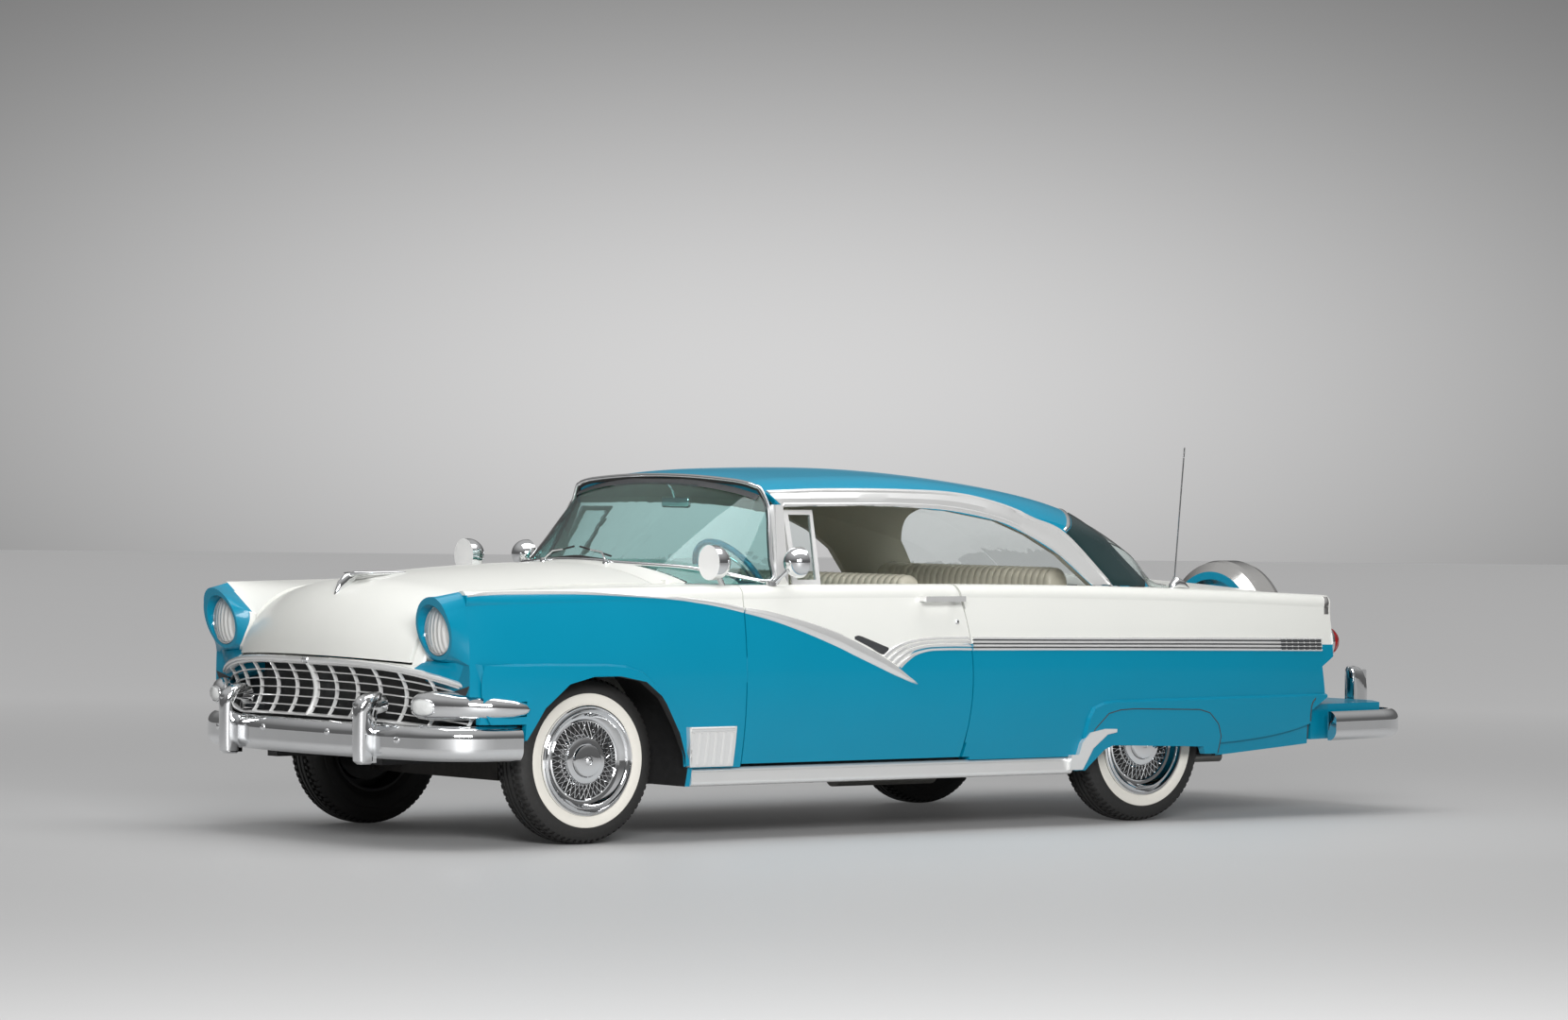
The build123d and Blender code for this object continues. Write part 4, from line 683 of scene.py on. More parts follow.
# Plain finishes: dark and light tone, roughness, grain scale, grain depth, metal share
PLAIN_FINISH = {
    # Grille bars: pale half-metal colour that paints in the bright reflection of polished bars
    "satin": ("grille_bars_painted_reflection", (0.86, 0.86, 0.85), (0.94, 0.94, 0.93), 0.2, 20, 0.0, 0.45),
    # Mouldings: pale half-metal colour that paints in the bright reflection of polished trim
    "trim_painted_reflection": ("moulding_painted_reflection", (0.8, 0.8, 0.79), (0.86, 0.86, 0.855), 0.2, 12, 0.0, 0.55),
    # Dark finish: dark paint of the inserts and seams, and painted shade in the grille bays and under the
    # windshield header
    "dark_insert_and_shade": ("dark_paint_and_painted_shade", (0.03, 0.032, 0.035), (0.06, 0.062, 0.065), 0.5, 300),
    "rubber": ("black_rubber", (0.014, 0.014, 0.014), (0.024, 0.023, 0.022), 0.62, 500, 0.0004),
    "carpet": ("teal_carpet", (0.004, 0.05, 0.075), (0.01, 0.08, 0.11), 0.95, 1800, 0.002),
    # Black steel of the frame and underside, also painted shade in the wheel covers' wells behind the wires
    "black": ("black_steel", (0.012, 0.012, 0.013), (0.03, 0.03, 0.03), 0.5, 260, 0.0003),
    "iron": ("cast_iron", (0.045, 0.042, 0.04), (0.085, 0.08, 0.075), 0.65, 300, 0.001, 0.6),
    "pipe": ("steel_pipe", (0.2, 0.19, 0.18), (0.34, 0.33, 0.31), 0.4, 160, 0.0004, 0.9),
    # Wrapped rear glass: tinted glass with the cabin's shade behind it painted in as near-black
    "glass_with_painted_shade": ("wrapped_glass_painted_shade", (0.01, 0.028, 0.03), (0.016, 0.04, 0.042), 0.12, 40),
    "frosted": ("frosted_lamp_glass", (0.66, 0.67, 0.66), (0.78, 0.79, 0.78), 0.25, 60, 0.0008),
    # Lamp bowls and spotlight fronts: near-white colour that paints in the bright reflection of a mirror
    # reflector
    "reflector": ("lamp_bowl_painted_reflection", (0.9, 0.9, 0.9), (0.97, 0.97, 0.96), 0.18, 60, 0.0, 0.12),
    "dial": ("dial_face", (0.02, 0.05, 0.06), (0.04, 0.08, 0.09), 0.35, 200),
}
FINISH = {}


def make_finish(name):
    if name in PLAIN_FINISH:
        return plain_finish(*PLAIN_FINISH[name])
    c = bpy.context.scene.hardtop_colours
    lower, upper, vinyl, wall = tuple(c.lower_paint), tuple(c.upper_paint), tuple(c.vinyl), tuple(c.whitewall)
    makers = {
        "sides": lambda: two_tone("two_tone_enamel", lower, upper),
        "bezel": lambda: bezel_paint("bezel_enamel", lower, upper),
        "lower": lambda: enamel("lower_enamel", lower),
        "upper": lambda: enamel("upper_enamel", upper),
        "chrome": lambda: bright_metal("chrome_plate", (0.86, 0.87, 0.88), 0.05),
        "stainless": lambda: bright_metal("polished_stainless", (0.78, 0.77, 0.75), 0.14, 0.05),
        "whitewall": lambda: plain_finish("white_rubber", shade(wall, 0.95), wall, 0.5, 400, 0.0002),
        "vinyl": lambda: plain_finish("ivory_vinyl", shade(vinyl, 0.92), vinyl, 0.42, 900, 0.0003),
        "cloth": lambda: plain_finish(
            "headlining_cloth", shade(vinyl, 0.72), shade(vinyl, 0.82), 0.85, 1500, 0.0004
        ),
        "glass": lambda: clear_glass("tinted_glass", tuple(c.glass)),
        "pane": lambda: clear_glass("clear_pane", (0.9, 0.95, 0.945), 1.1),
        # Headlamp lens: near-white, mostly diffuse glass that paints in the bright reflection of the bowl
        # behind it
        "lens": lambda: lamp_glass("fluted_lens_painted_reflection", (0.97, 0.97, 0.95), 13),
        "red": lambda: lamp_glass("red_tail_glass", tuple(c.tail_lens), 20),
    }
    return makers[name]()


def finish(name):
    """The named finish, made on first use from the car's colours."""
    if name not in FINISH:
        FINISH[name] = make_finish(name)
    return FINISH[name]


def bright(obj, look="chrome", body="car_body", smooth=35):
    """Settles a piece of bright trim."""
    return settle(obj, body, "chrome", finish(look), smooth=smooth)


# Finish of each panel carried over from the solids
PANEL_FINISH = {
    "bezel": ["headlamp_bezels"],
    "lower": ["roof", "fender_skirts", "splash_apron", "dashboard", "steering_wheel", "steering_column"],
    "upper": ["hood", "cowl", "deck_panel", "trunk_lid"],
    "sides": [
        "front_fender_left", "front_fender_right", "quarter_left", "quarter_right", "door_left", "door_right",
    ],
    "chrome": [
        "front_bumper", "rear_bumper", "parking_pods", "hood_ornament", "spotlights", "antenna",
        "door_fittings_left", "door_fittings_right", "wheel_front_left", "wheel_front_right",
        "wheel_rear_left", "wheel_rear_right",
    ],
    "satin": ["grille"],
    "trim_painted_reflection": ["sills", "gravel_shields", "vent_frame_left", "vent_frame_right"],
    "stainless": ["spare_wheel"],
    "glass": ["windshield"],
    "pane": ["rear_window", "vent_glass_left", "vent_glass_right"],
    "lens": ["headlamp_lenses"],
    "red": ["tail_lamps"],
    "black": ["frame_rails", "cross_members", "underbody", "front_valance", "rear_panel", "fuel_tank"],
    "iron": ["power_train", "rear_axle", "front_suspension", "knuckle_left", "knuckle_right"],
    "pipe": ["exhaust"],
    "vinyl": ["front_seat", "rear_seat"],
    "rubber": ["tyre_front_left", "tyre_front_right", "tyre_rear_left", "tyre_rear_right"],
}


def line_inside(node, material, test):
    """Gives the faces of a carried-over panel that pass the test a second finish."""
    mesh = NODES[node].data
    mesh.materials.append(material)
    index = len(mesh.materials) - 1
    for face in mesh.polygons:
        if test(face.center, face.normal):
            face.material_index = index


class HARDTOP_OT_paint(bpy.types.Operator):
    """Give every panel and mechanical piece its finish"""

    bl_idname = "hardtop.paint"
    bl_label = "Paint and finishes"

    def execute(self, context):
        for name, nodes in PANEL_FINISH.items():
            for node in nodes:
                dress(NODES[node], finish(name))
                for face in NODES[node].data.polygons:
                    face.material_index = 0
        line_inside("roof", finish("cloth"), roof_inner)
        # The cowl trim, spotlight fronts and door handles get pale finishes that paint in bright reflections
        line_inside("cowl", finish("trim_painted_reflection"), lambda c, n: c.z > 1.03 and abs(c.y) > 0.6)
        line_inside("spare_wheel", finish("lower"), spare_face)
        line_inside("spotlights", finish("reflector"), lambda c, n: n.x > 0.9)
        for word, side in SIDES.items():
            line_inside("door_" + word, finish("vinyl"), lambda c, n: n.y * side < -0.9)
            line_inside("quarter_" + word, finish("vinyl"), lambda c, n: n.y * side < -0.9 and c.z > 0.6)
            line_inside("quarter_" + word, finish("stainless"), fin_end)
            line_inside("door_fittings_" + word, finish("trim_painted_reflection"), lambda c, n: c.x < MID_X)
            # the fender's faces in the hollow behind the grille get the dark finish as painted shade
            line_inside("front_fender_" + word, finish("dark_insert_and_shade"), shaded_grille_bay)
            for panel in ("front_fender_", "quarter_"):
                line_inside(panel + word, finish("black"), wheel_well)
        line_inside("underbody", finish("carpet"), lambda c, n: n.z > 0.5 or (n.x > 0.5 and c.z > 0.5))
        return {"FINISHED"}


FIN_END_X = spot(-2430, 0, 0).x
FIN_END_Z = 0.82
BAY_FROM = spot(1950, 0, 0).x
BAY_TOP = 0.62
BAY_ASIDE = 0.87
ARCH_REACH = 0.56
SPARE_MIDDLE = middle("spare_wheel")
SPARE_PLATE = 0.285
CABIN_MIDDLE = Vector((middle("roof").x, 0, 1.1))


def spare_face(centre, normal):
    """The plate in the rear of the spare-wheel cover."""
    return abs(normal.x) > 0.85 and math.hypot(centre.y, centre.z - SPARE_MIDDLE.z) < SPARE_PLATE


def fin_end(centre, normal):
    """The rear face of a fin."""
    return normal.x < -0.4 and centre.x < FIN_END_X and centre.z > FIN_END_Z


def shaded_grille_bay(centre, normal):
    """The hollow in a front fender behind the end of the grille; its dark finish is painted shade."""
    return normal.x > 0.3 and centre.x > BAY_FROM and centre.z < BAY_TOP and abs(centre.y) < BAY_ASIDE


def wheel_well(centre, normal):
    """Faces of a body side that look at the wheel."""
    for hub in (FRONT_HUB, REAR_HUB):
        arm = Vector((hub.x - centre.x, 0, hub.z - centre.z))
        if arm.length < ARCH_REACH and arm.normalized().dot(normal) > 0.35:
            return True
    return False


def roof_inner(centre, normal):
    """Faces of the roof that look into the cabin."""
    return (CABIN_MIDDLE - centre).dot(normal) > 0


# Wheels: radius and outward distance from the wheel's middle plane, in millimetres
COVER_PROFILE = [
    (0, 107), (9, 104), (17, 99), (19, 96), (54, 95), (62, 92), (67, 86), (69, 81), (82, 80),
    (90, 77), (94, 71), (96, 62), (97, 48), (101, 44), (147, 43), (151, 50), (153, 62), (157, 65),
    (162, 62), (172, 64), (182, 74), (187, 82), (191, 84), (195, 81), (198, 77), (202, 80),
    (207, 89), (212, 91), (217, 88), (219, 82), (216, 72), (196, 63), (196, -63), (186, -63),
    (186, 37), (150, 33), (150, -12), (60, -12), (60, -30), (21, -30), (21, 40), (0, 40),
]
TYRE_HALF = [
    (196, 62), (203, 68), (212, 73), (218, 77), (219, 79), (226, 82), (240, 85.5), (252, 87),
    (262, 87.5), (264, 85.5), (276, 87), (292, 84), (304, 79), (313, 74), (320, 69), (324, 62),
    (326, 52), (327, 50), (320, 48.5), (320, 44), (328, 42.5), (329, 30), (321, 28), (321, 22),
    (329, 20), (330, 6), (322, 4.5),
]
SPOKE_LEAN = 0.24
SPOKE_RADIUS = 0.0015
SPOKE_FROM = 92
SPOKE_TO = 153
# Faces picked on the wheels, in metres: least radius and range of the outward distance, or limits
SHOULDER = (0.3105, 0.05, 0.0765)
TREAD_RIB = (0.3275, 0.03, 0.043)
SLOT_DEPTH = 0.006
WALL_OUT = 0.06
WELL_FROM, WELL_TO = 0.098, 0.15
WELL_OUT = 0.0455
COVER_BACK = 0.04


def wire(name, start, end, radius):
    """One spoke: a six-sided bar between two places."""
    deselect()
    along = end - start
    mid = (start + end) / 2
    bpy.ops.mesh.primitive_cylinder_add(vertices=6, radius=radius, depth=along.length, location=mid)
    obj = named(name)
    obj.rotation_mode = "QUATERNION"
    obj.rotation_quaternion = along.to_track_quat("Z", "Y")
    bpy.ops.object.transform_apply(location=True, rotation=True, scale=True)
    return obj


def round_about(centre, radius, out, angle):
    """A place on a wheel: radius and outward distance in millimetres, angle in radians."""
    arm = Vector((math.sin(angle) * radius, 0, math.cos(angle) * radius))
    return centre + arm * MM + Vector((0, out * MM, 0))


def wheel_cover(centre, pairs):
    """Stepped bright cover with crossed wires behind a domed cap."""
    cover = turned("wheel_cover", scaled(COVER_PROFILE), centre, (0, 1, 0), 96)
    spokes = []
    for index in range(pairs):
        angle = math.tau * index / pairs
        for lean, inner_out, outer_out in ((-SPOKE_LEAN, 68, 55), (SPOKE_LEAN, 72, 60)):
            inner = round_about(centre, SPOKE_FROM, inner_out, angle)
            outer = round_about(centre, SPOKE_TO, outer_out, angle + lean)
            spokes.append(wire("spoke", inner, outer, SPOKE_RADIUS))
    return join("wheel_cover", [cover] + spokes)


def tyre_piece(centre, slots):
    """Ribbed tyre with a raised white band and cross slots in its shoulders."""
    half = scaled(TYRE_HALF)
    profile = half + [(radius, -out) for radius, out in reversed(half)]
    obj = turned("tyre", profile + profile[:1], centre, (0, 1, 0), slots * 2)
    step = math.tau / (slots * 2)
    start_edit(obj)
    bpy.ops.mesh.select_all(action="DESELECT")
    bpy.ops.mesh.select_mode(type="FACE")
    end_edit()
    for face in obj.data.polygons:
        arm = face.center - centre
        radius, out = math.hypot(arm.x, arm.z), abs(arm.y)
        turn = int(math.floor(math.atan2(arm.x, arm.z) / step))
        shoulder = radius > SHOULDER[0] and SHOULDER[1] < out < SHOULDER[2]
        rib = radius > TREAD_RIB[0] and TREAD_RIB[1] < out < TREAD_RIB[2]
        face.select = (shoulder and turn % 2 == 0) or (rib and turn % 2 == 1)
    bpy.ops.object.mode_set(mode="EDIT")
    bpy.ops.mesh.extrude_region_shrink_fatten(TRANSFORM_OT_shrink_fatten={"value": -SLOT_DEPTH})
    bpy.ops.mesh.select_mode(type="VERT")
    end_edit()
    return obj


def colour_wall(obj, centre, side, inner, outer):
    """White faces between two radii on the outer sidewall."""
    for face in obj.data.polygons:
        arm = face.center - centre
        radius = math.hypot(arm.x, arm.z)
        face.material_index = 1 if inner < radius < outer and arm.y * side > WALL_OUT else 0


def cover_back_and_shaded_well(arm, side):
    """The dark inner side of a wheel cover and the well behind its wires; the black in the well is painted
    shade.
    """
    well = WELL_FROM < math.hypot(arm.x, arm.z) < WELL_TO and arm.y * side < WELL_OUT
    return well or arm.y * side < COVER_BACK


class HARDTOP_OT_wheels(bpy.types.Operator):
    """Model the tyres and wire-style covers"""

    bl_idname = "hardtop.wheels"
    bl_label = "Wheels"

    def execute(self, context):
        sizes = context.scene.hardtop_sizes
        cover = wheel_cover(FRONT_HUB, sizes.spokes)
        tyre = tyre_piece(FRONT_HUB, sizes.tread_slots)
        for end, hub in (("front", FRONT_HUB), ("rear", REAR_HUB)):
            for word, side in SIDES.items():
                move = Vector((hub.x - FRONT_HUB.x, side * (hub.y - FRONT_HUB.y), 0))
                body = "wheel_" + end + "_" + word
                seat = Vector((hub.x, side * hub.y, hub.z))
                one = copied(cover, "cover_" + end + "_" + word, move, side < 0)
                settle(one, body, "chrome", finish("chrome"), finish("black"), smooth=28)
                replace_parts(one, "wheel_" + end + "_" + word)
                for face in one.data.polygons:
                    # the well behind the wires is painted black as painted shade
                    face.material_index = 1 if cover_back_and_shaded_well(face.center - seat, side) else 0
                two = copied(tyre, "ribbed_tyre_" + end + "_" + word, move, side < 0)
                settle(two, body, "tyre_rubber", finish("rubber"), finish("whitewall"), smooth=28)
                colour_wall(two, seat, side, sizes.wall_inner, sizes.wall_outer)
                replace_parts(two, "tyre_" + end + "_" + word)
        bpy.data.objects.remove(cover)
        bpy.data.objects.remove(tyre)
        return {"FINISHED"}


# Side trim, as (x, low, high) stations in millimetres
FENDER_LINE = [
    (2086, 975, 986), (1980, 982, 993), (1813, 984, 995), (1542, 982, 994), (1174, 963, 976),
    (1000, 945, 963), (890, 928, 949), (782, 906, 929),
]
SPEAR = [
    (775, 904, 928), (656, 877, 912), (541, 844, 887), (425, 805, 858), (308, 762, 822),
    (228, 729, 788), (160, 702, 758), (92, 675, 728), (32, 651, 696), (-7, 637, 673),
    (-48, 622, 645), (-80, 612, 625), (-94, 608, 614),
]
SPEAR_RIDGE = [(0, 0.5), (0.06, 3), (0.4, 9), (0.46, 9.2), (0.92, 4), (1, 0.5)]
STRIP_RIDGE = [(0, 0.5), (0.15, 4), (0.5, 6), (0.85, 4), (1, 0.5)]
SLOT_PANEL = [(226, 795, 806), (200, 784, 809), (150, 762, 793), (95, 735, 774), (52, 730, 759)]
RIB_TOP = [(84, 727), (43, 755), (-26, 781), (-105, 794), (-185, 799), (-285, 800), (-384, 799)]
RIB_LOW = [(-12, 674), (-47, 701), (-96, 727), (-165, 741), (-235, 743), (-306, 743), (-384, 741)]
RIB_COUNT = 4
REAR_STRIPE = [(-394, 741, 799), (-1000, 734, 790), (-1700, 724, 782), (-2380, 713, 772)]
RIB_RIDGE = [(0, 0.5), (0.2, 5), (0.5, 6.5), (0.8, 5), (1, 0.5)]
FLAT_RIDGE = [(0, 0.4), (0.06, 1.4), (0.94, 1.4), (1, 0.4)]
RIB_SHARE = 0.78
SLOT_SHARE = 0.89
SLOT_HALF = 6.5
SLOT_RIDGE = [(0, 4), (0.1, 7.6), (0.9, 7.6), (1, 4)]
SLOT_ROWS = 3
SLOT_COLUMNS = 7
SLOT_FROM = -2372
SLOT_PITCH = 36
SLOT_LONG = 27
SLOT_RISE = 0.013
SHIELD_RIBS = 6
SHIELD_SPAN = (852, 1052)
SHIELD_RISE = (306, 434)
SHIELD_BEAD = 9
SHIELD_CAP = [(846, 438, 456), (1062, 438, 456)]
LOCK_PLACE = (-316, 860)


def stripe_slots(name, node, side):
    """Short dark slots in the grooves at the tail end of the stripe."""
    pieces = []
    _, low, high = REAR_STRIPE[-1]
    for row in range(SLOT_ROWS):
        centre = between(low, high, (row + SLOT_SHARE) / (RIB_COUNT - 1 + RIB_SHARE))
        for column in range(SLOT_COLUMNS):
            x = SLOT_FROM + column * SLOT_PITCH
            lift = (x - SLOT_FROM) * SLOT_RISE
            below, above = centre + lift - SLOT_HALF, centre + lift + SLOT_HALF
            stations = [(x, below, above), (x + SLOT_LONG, below, above)]
            pieces.append(side_strip(name, node, side, stations, SLOT_RIDGE, 2))
    return join(name, pieces)


class HARDTOP_OT_side_trim(bpy.types.Operator):
    """Lay the bright strips, spears and ribbed stripes on the body sides"""

    bl_idname = "hardtop.side_trim"
    bl_label = "Side trim"

    def execute(self, context):
        for word, side in SIDES.items():
            fender, door, quarter = "front_fender_" + word, "door_" + word, "quarter_" + word
            strip = side_strip("fender_strip_" + word, fender, side, FENDER_LINE, STRIP_RIDGE)
            bright(strip, "trim_painted_reflection")
            spear = side_strip("spear_" + word, door, side, SPEAR, SPEAR_RIDGE, 8)
            bright(spear, "trim_painted_reflection", body=door, smooth=20)
            slot = side_strip("spear_slot_" + word, door, side, SLOT_PANEL, FLAT_RIDGE)
            settle(slot, door, "black_steel", finish("dark_insert_and_shade"))
            fan = rib_set("door_ribs_" + word, door, side, RIB_LOW, RIB_TOP, RIB_COUNT)
            bright(fan, "trim_painted_reflection", body=door)
            ground = [(x, low + 2, high - 2) for x, low, high in REAR_STRIPE]
            back = side_strip("stripe_ground_" + word, quarter, side, ground, FLAT_RIDGE)
            settle(back, "car_body", "black_steel", finish("dark_insert_and_shade"))
            low_line = [(x, low) for x, low, _ in REAR_STRIPE]
            high_line = [(x, high) for x, _, high in REAR_STRIPE]
            bars = rib_set("quarter_ribs_" + word, quarter, side, low_line, high_line, RIB_COUNT)
            bright(bars, "trim_painted_reflection")
            slots = stripe_slots("stripe_slots_" + word, quarter, side)
            settle(slots, "car_body", "black_steel", finish("dark_insert_and_shade"))
            bright(shield_ribs("shield_ribs_" + word, side), "trim_painted_reflection")
            start = spot(LOCK_PLACE[0], side * SIDE_CLEAR, LOCK_PLACE[1])
            lock = button("door_lock_" + word, door, start, (0, -side, 0), (11, 11), BOLT_RINGS, 20, 2)
            bright(lock, body=door)
        return {"FINISHED"}


def shield_ribs(name, side):
    """Upright beads on the gravel shield behind the front wheel, under a cap strip."""
    pieces = []
    for index in range(SHIELD_RIBS):
        x = between(*SHIELD_SPAN, index / (SHIELD_RIBS - 1))
        low_line = [(x - SHIELD_BEAD, z) for z in SHIELD_RISE]
        high_line = [(x + SHIELD_BEAD, z) for z in SHIELD_RISE]
        pieces.append(laid_strip(name, "gravel_shields", side, low_line, high_line, RIB_RIDGE, 4))
    pieces.append(side_strip(name, "gravel_shields", side, SHIELD_CAP, STRIP_RIDGE, 4))
    return join(name, pieces)


# Glass surrounds and roof mouldings, as (x, z) lines in millimetres seen from the side
ROOF_BAND_LOW = [
    (432, 1326), (174, 1325), (-177, 1325), (-438, 1314), (-696, 1272), (-852, 1213), (-997, 1131),
    (-1146, 996),
]
ROOF_BAND_HIGH = [
    (462, 1388), (190, 1398), (-200, 1398), (-520, 1385), (-737, 1345), (-902, 1287), (-1069, 1219),
    (-1262, 998),
]
BAND_RIDGE = [
    (0, 0.5), (0.05, 4), (0.18, 5), (0.24, 3), (0.5, 5), (0.78, 4), (0.84, 9), (0.95, 9), (1, 0.5),
]
WRAP_FRONT = [(-1071, 1219), (-1128, 1158), (-1186, 1088), (-1264, 996)]
WRAP_REAR = [(-1216, 1304), (-1300, 1210), (-1385, 1115), (-1492, 996)]
WRAP_RIDGE = [(0, 0.4), (0.03, 4), (0.2, 5), (0.4, 6), (0.6, 6), (0.8, 6), (0.97, 5), (1, 1)]
MIRROR_STALK = [(478, 0, 1418), (448, 0, 1392), (430, 0, 1352)]
BEAD_LINE = [(-1071, 1222), (-1145, 1268), (-1216, 1308)]
GLASS_SIDE = [(548, 1024), (522, 1110), (496, 1208), (474, 1280), (462, 1334)]
HEADER = [(437, 1338), (505, 1440)]
HEADER_SPAN = (0, 110, 220, 330, 430, 510, 570, 604, 630)
BASE_SPAN = (720, 640, 540, 420, 300, 150, 0)
WIPER_PIVOT_Y = 330
WIPER_REACH = 300
WIPER_KNOB = [(0, 22), (9, 20), (13, 12), (14, 0), (0, 0)]


def glass_at(y, z):
    place, _ = meet("windshield", spot(2000, y, z), (-1, 0, 0))
    return place


def header_place(y):
    """The roof's front edge at a distance y from the middle."""
    (x_low, z_low), (x_high, z_high) = HEADER
    x = x_high
    for _ in range(5):
        place, _ = meet("roof", spot(x - 5, y, 1700), (0, 0, -1))
        x = between(x_low, x_high, (place.z / MM - z_low) / (z_high - z_low))
    return place


def base_place(y):
    """Where the windshield stands on the cowl."""
    z = 1060
    for _ in range(6):
        place = glass_at(y, z)
        ground, _ = meet("cowl", (place.x + 0.004, place.y, 1.6), (0, 0, -1))
        z = ground.z / MM
    return glass_at(y, z)


def flipped(points):
    return [Vector((p.x, -p.y, p.z)) for p in points]


def windshield_edge():
    """Half of the windshield's outline, from the middle of the header round to the middle of the base."""
    header = [header_place(y) for y in HEADER_SPAN]
    side = [meet("windshield", spot(x, SIDE_CLEAR, z), (0, -1, 0))[0] for x, z in reversed(GLASS_SIDE)]
    base = [base_place(y) for y in BASE_SPAN]
    return header, side, base


class HARDTOP_OT_glasshouse(bpy.types.Operator):
    """Mouldings round the roof and glass, wipers and the inside mirror"""

    bl_idname = "hardtop.glasshouse"
    bl_label = "Roof and glass mouldings"

    def execute(self, context):
        for word, side in SIDES.items():
            band = laid_strip("roof_band_" + word, "roof", side, ROOF_BAND_LOW, ROOF_BAND_HIGH, BAND_RIDGE, 8)
            bright(band, "trim_painted_reflection", smooth=25)
            # the wrapped corners of the rear glass are a dark strip with painted shade of the cabin
            wrap = laid_strip("rear_glass_wrap_" + word, "roof", side, WRAP_FRONT, WRAP_REAR, WRAP_RIDGE, 6)
            settle(wrap, "car_body", "tinted_glass", finish("glass_with_painted_shade"))
            above = [(x + 10, z + 14) for x, z in BEAD_LINE]
            bead = laid_strip("rear_glass_bead_" + word, "roof", side, BEAD_LINE, above, STRIP_RIDGE)
            bright(bead)
        header, edge, base = windshield_edge()
        ring = header + edge + base
        ring = spline(ring + flipped(reversed(ring[1:-1])), 4)
        lift = [p + Vector((0.004, 0, 0.003)) for p in ring]
        moulding = tube("windshield_moulding", lift, 0.009, cyclic=True, sides=4)
        bright(moulding)
        inner = [p + (Vector((p.x, 0, 1.2)) - p).normalized() * 0.014 + Vector((0.002, 0, 0)) for p in ring]
        gasket = tube("windshield_rubber", inner, 0.007, cyclic=True)
        settle(gasket, "car_body", "tyre_rubber", finish("rubber"))
        settle(header_shade("windshield_header", header), "car_body", "black_steel", finish("dark_insert_and_shade"))
        for word, side in SIDES.items():
            for piece, look, kind in wiper("wiper_" + word, side):
                settle(piece, "car_body", kind, finish(look))
        stalk = tube("mirror_stalk", [spot(*place) for place in MIRROR_STALK], 0.006)
        shell = box_piece("inside_mirror", spot(412, -92, 1312), spot(436, 92, 1360), 0.011)
        bright(join("inside_mirror", [shell, stalk]))
        return {"FINISHED"}


def header_shade(name, header):
    """Dark band on the glass under the roof's front edge."""
    half = spline(header, 4)
    line = flipped(reversed(half[1:])) + half
    rows = []
    for place in line:
        row = []
        for drop in (0.004, 0.02, 0.038):
            hit = surface("windshield").find_nearest(place + Vector((drop * 0.75, 0, -drop)))[0]
            row.append(hit + Vector((0.003, 0, 0.002)))
        rows.append(row)
    return rows_grid(name, rows, ring=False)


def wiper(name, side):
    """Blade and arm resting on the foot of the windshield."""
    blade = []
    for index in range(9):
        share = index / 8
        y = side * (WIPER_PIVOT_Y - WIPER_REACH * share)
        blade.append(base_place(y) + Vector((-0.006, 0, 0.022 + 0.03 * share)) + Vector((0.010, 0, 0.004)))
    pivot = base_place(side * WIPER_PIVOT_Y) + Vector((0.03, 0, -0.008))
    rubber = tube(name + "_blade", blade, 0.004)
    elbow = [pivot + Vector((0, 0, 0.014)), blade[2] + Vector((0.008, 0, 0.006))]
    arm = tube(name, [pivot, *elbow, blade[5]], 0.0042)
    knob = turned(name + "_knob", scaled(WIPER_KNOB), pivot, (0, 0, 1), 20)
    return [(rubber, "rubber", "tyre_rubber"), (join(name + "_arm", [arm, knob]), "chrome", "chrome")]


# Front: lamps, ornament, bolts, grille, panels and guards
LAMP_SEAT = Vector((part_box("headlamp_lenses")[0].x, 0, middle("headlamp_lenses").z))
LENS_DOME = [
    (0, 50), (22, 49), (44, 45.5), (64, 39.5), (80, 31), (88, 26), (90, 22), (86, 21), (76, 29),
    (40, 42), (0, 46),
]
REFLECTOR = [(88, 21), (70, 12), (46, 5), (22, 2), (0, 1), (0, 0), (90, 0), (90, 21), (88, 21)]
LAMP_RING = [(90, 24), (93, 30), (97, 30), (99, 24), (99, 12), (90, 12), (90, 24)]
BULB = [(0, 22), (7, 20), (10, 14), (9, 6), (7, 2), (0, 2)]
DOME_RINGS = [(1, -2), (0.98, 3), (0.86, 7), (0.6, 10), (0.3, 11.5), (0.05, 12)]
RIM_RINGS = [(1.16, -2), (1.14, 3), (1.06, 5), (1.0, 3), (0.97, -1)]
ORNAMENT = [
    (2112, 962, 4, 6), (2100, 975, 10, 14), (2078, 1000, 13, 26), (2052, 1026, 15, 25),
    (2020, 1043, 17, 15), (1960, 1048, 17, 11), (1880, 1050, 13, 9), (1810, 1051, 8, 7),
    (1776, 1052, 2, 3),
]
WING = [(0, 2052, 1968, 8), (30, 2046, 1972, 7), (60, 2030, 1978, 5), (84, 2006, 1984, 3)]
BUMPER_BOLTS = [(640, 420), (-640, 420), (230, 436), (-230, 436)]
BOLT_REACH = (13, 13)
BOLT_RINGS = [(1, -2), (1, 3), (0.8, 6), (0.45, 7.5), (0.1, 8)]
CROWN_SECTION = [(-12, -0.5), (4, -0.46), (11, -0.3), (14, 0), (11, 0.3), (4, 0.46), (-12, 0.5)]
CROWN_SPAN = (0, 120, 240, 360, 480, 580, 680, 760, 820, 860)
CROWN_END = [(2054, 888, 608, 20), (2040, 904, 588, 16), (2032, 912, 568, 11), (2028, 916, 554, 6)]
GRILLE_REACH = 895
GRILLE_FRONT = 2239
GRILLE_BOW = 189
GRILLE_FOOT = 492
GRILLE_FOOT_DROP = 40
GRILLE_TOP = 697
GRILLE_TOP_DROP = 94
GRILLE_HOLLOW = 42
GRILLE_STEPS = 24
GRILLE_ROWS = 5
GRILLE_COLUMNS = 6
GRILLE_FOOT_HALF = 850
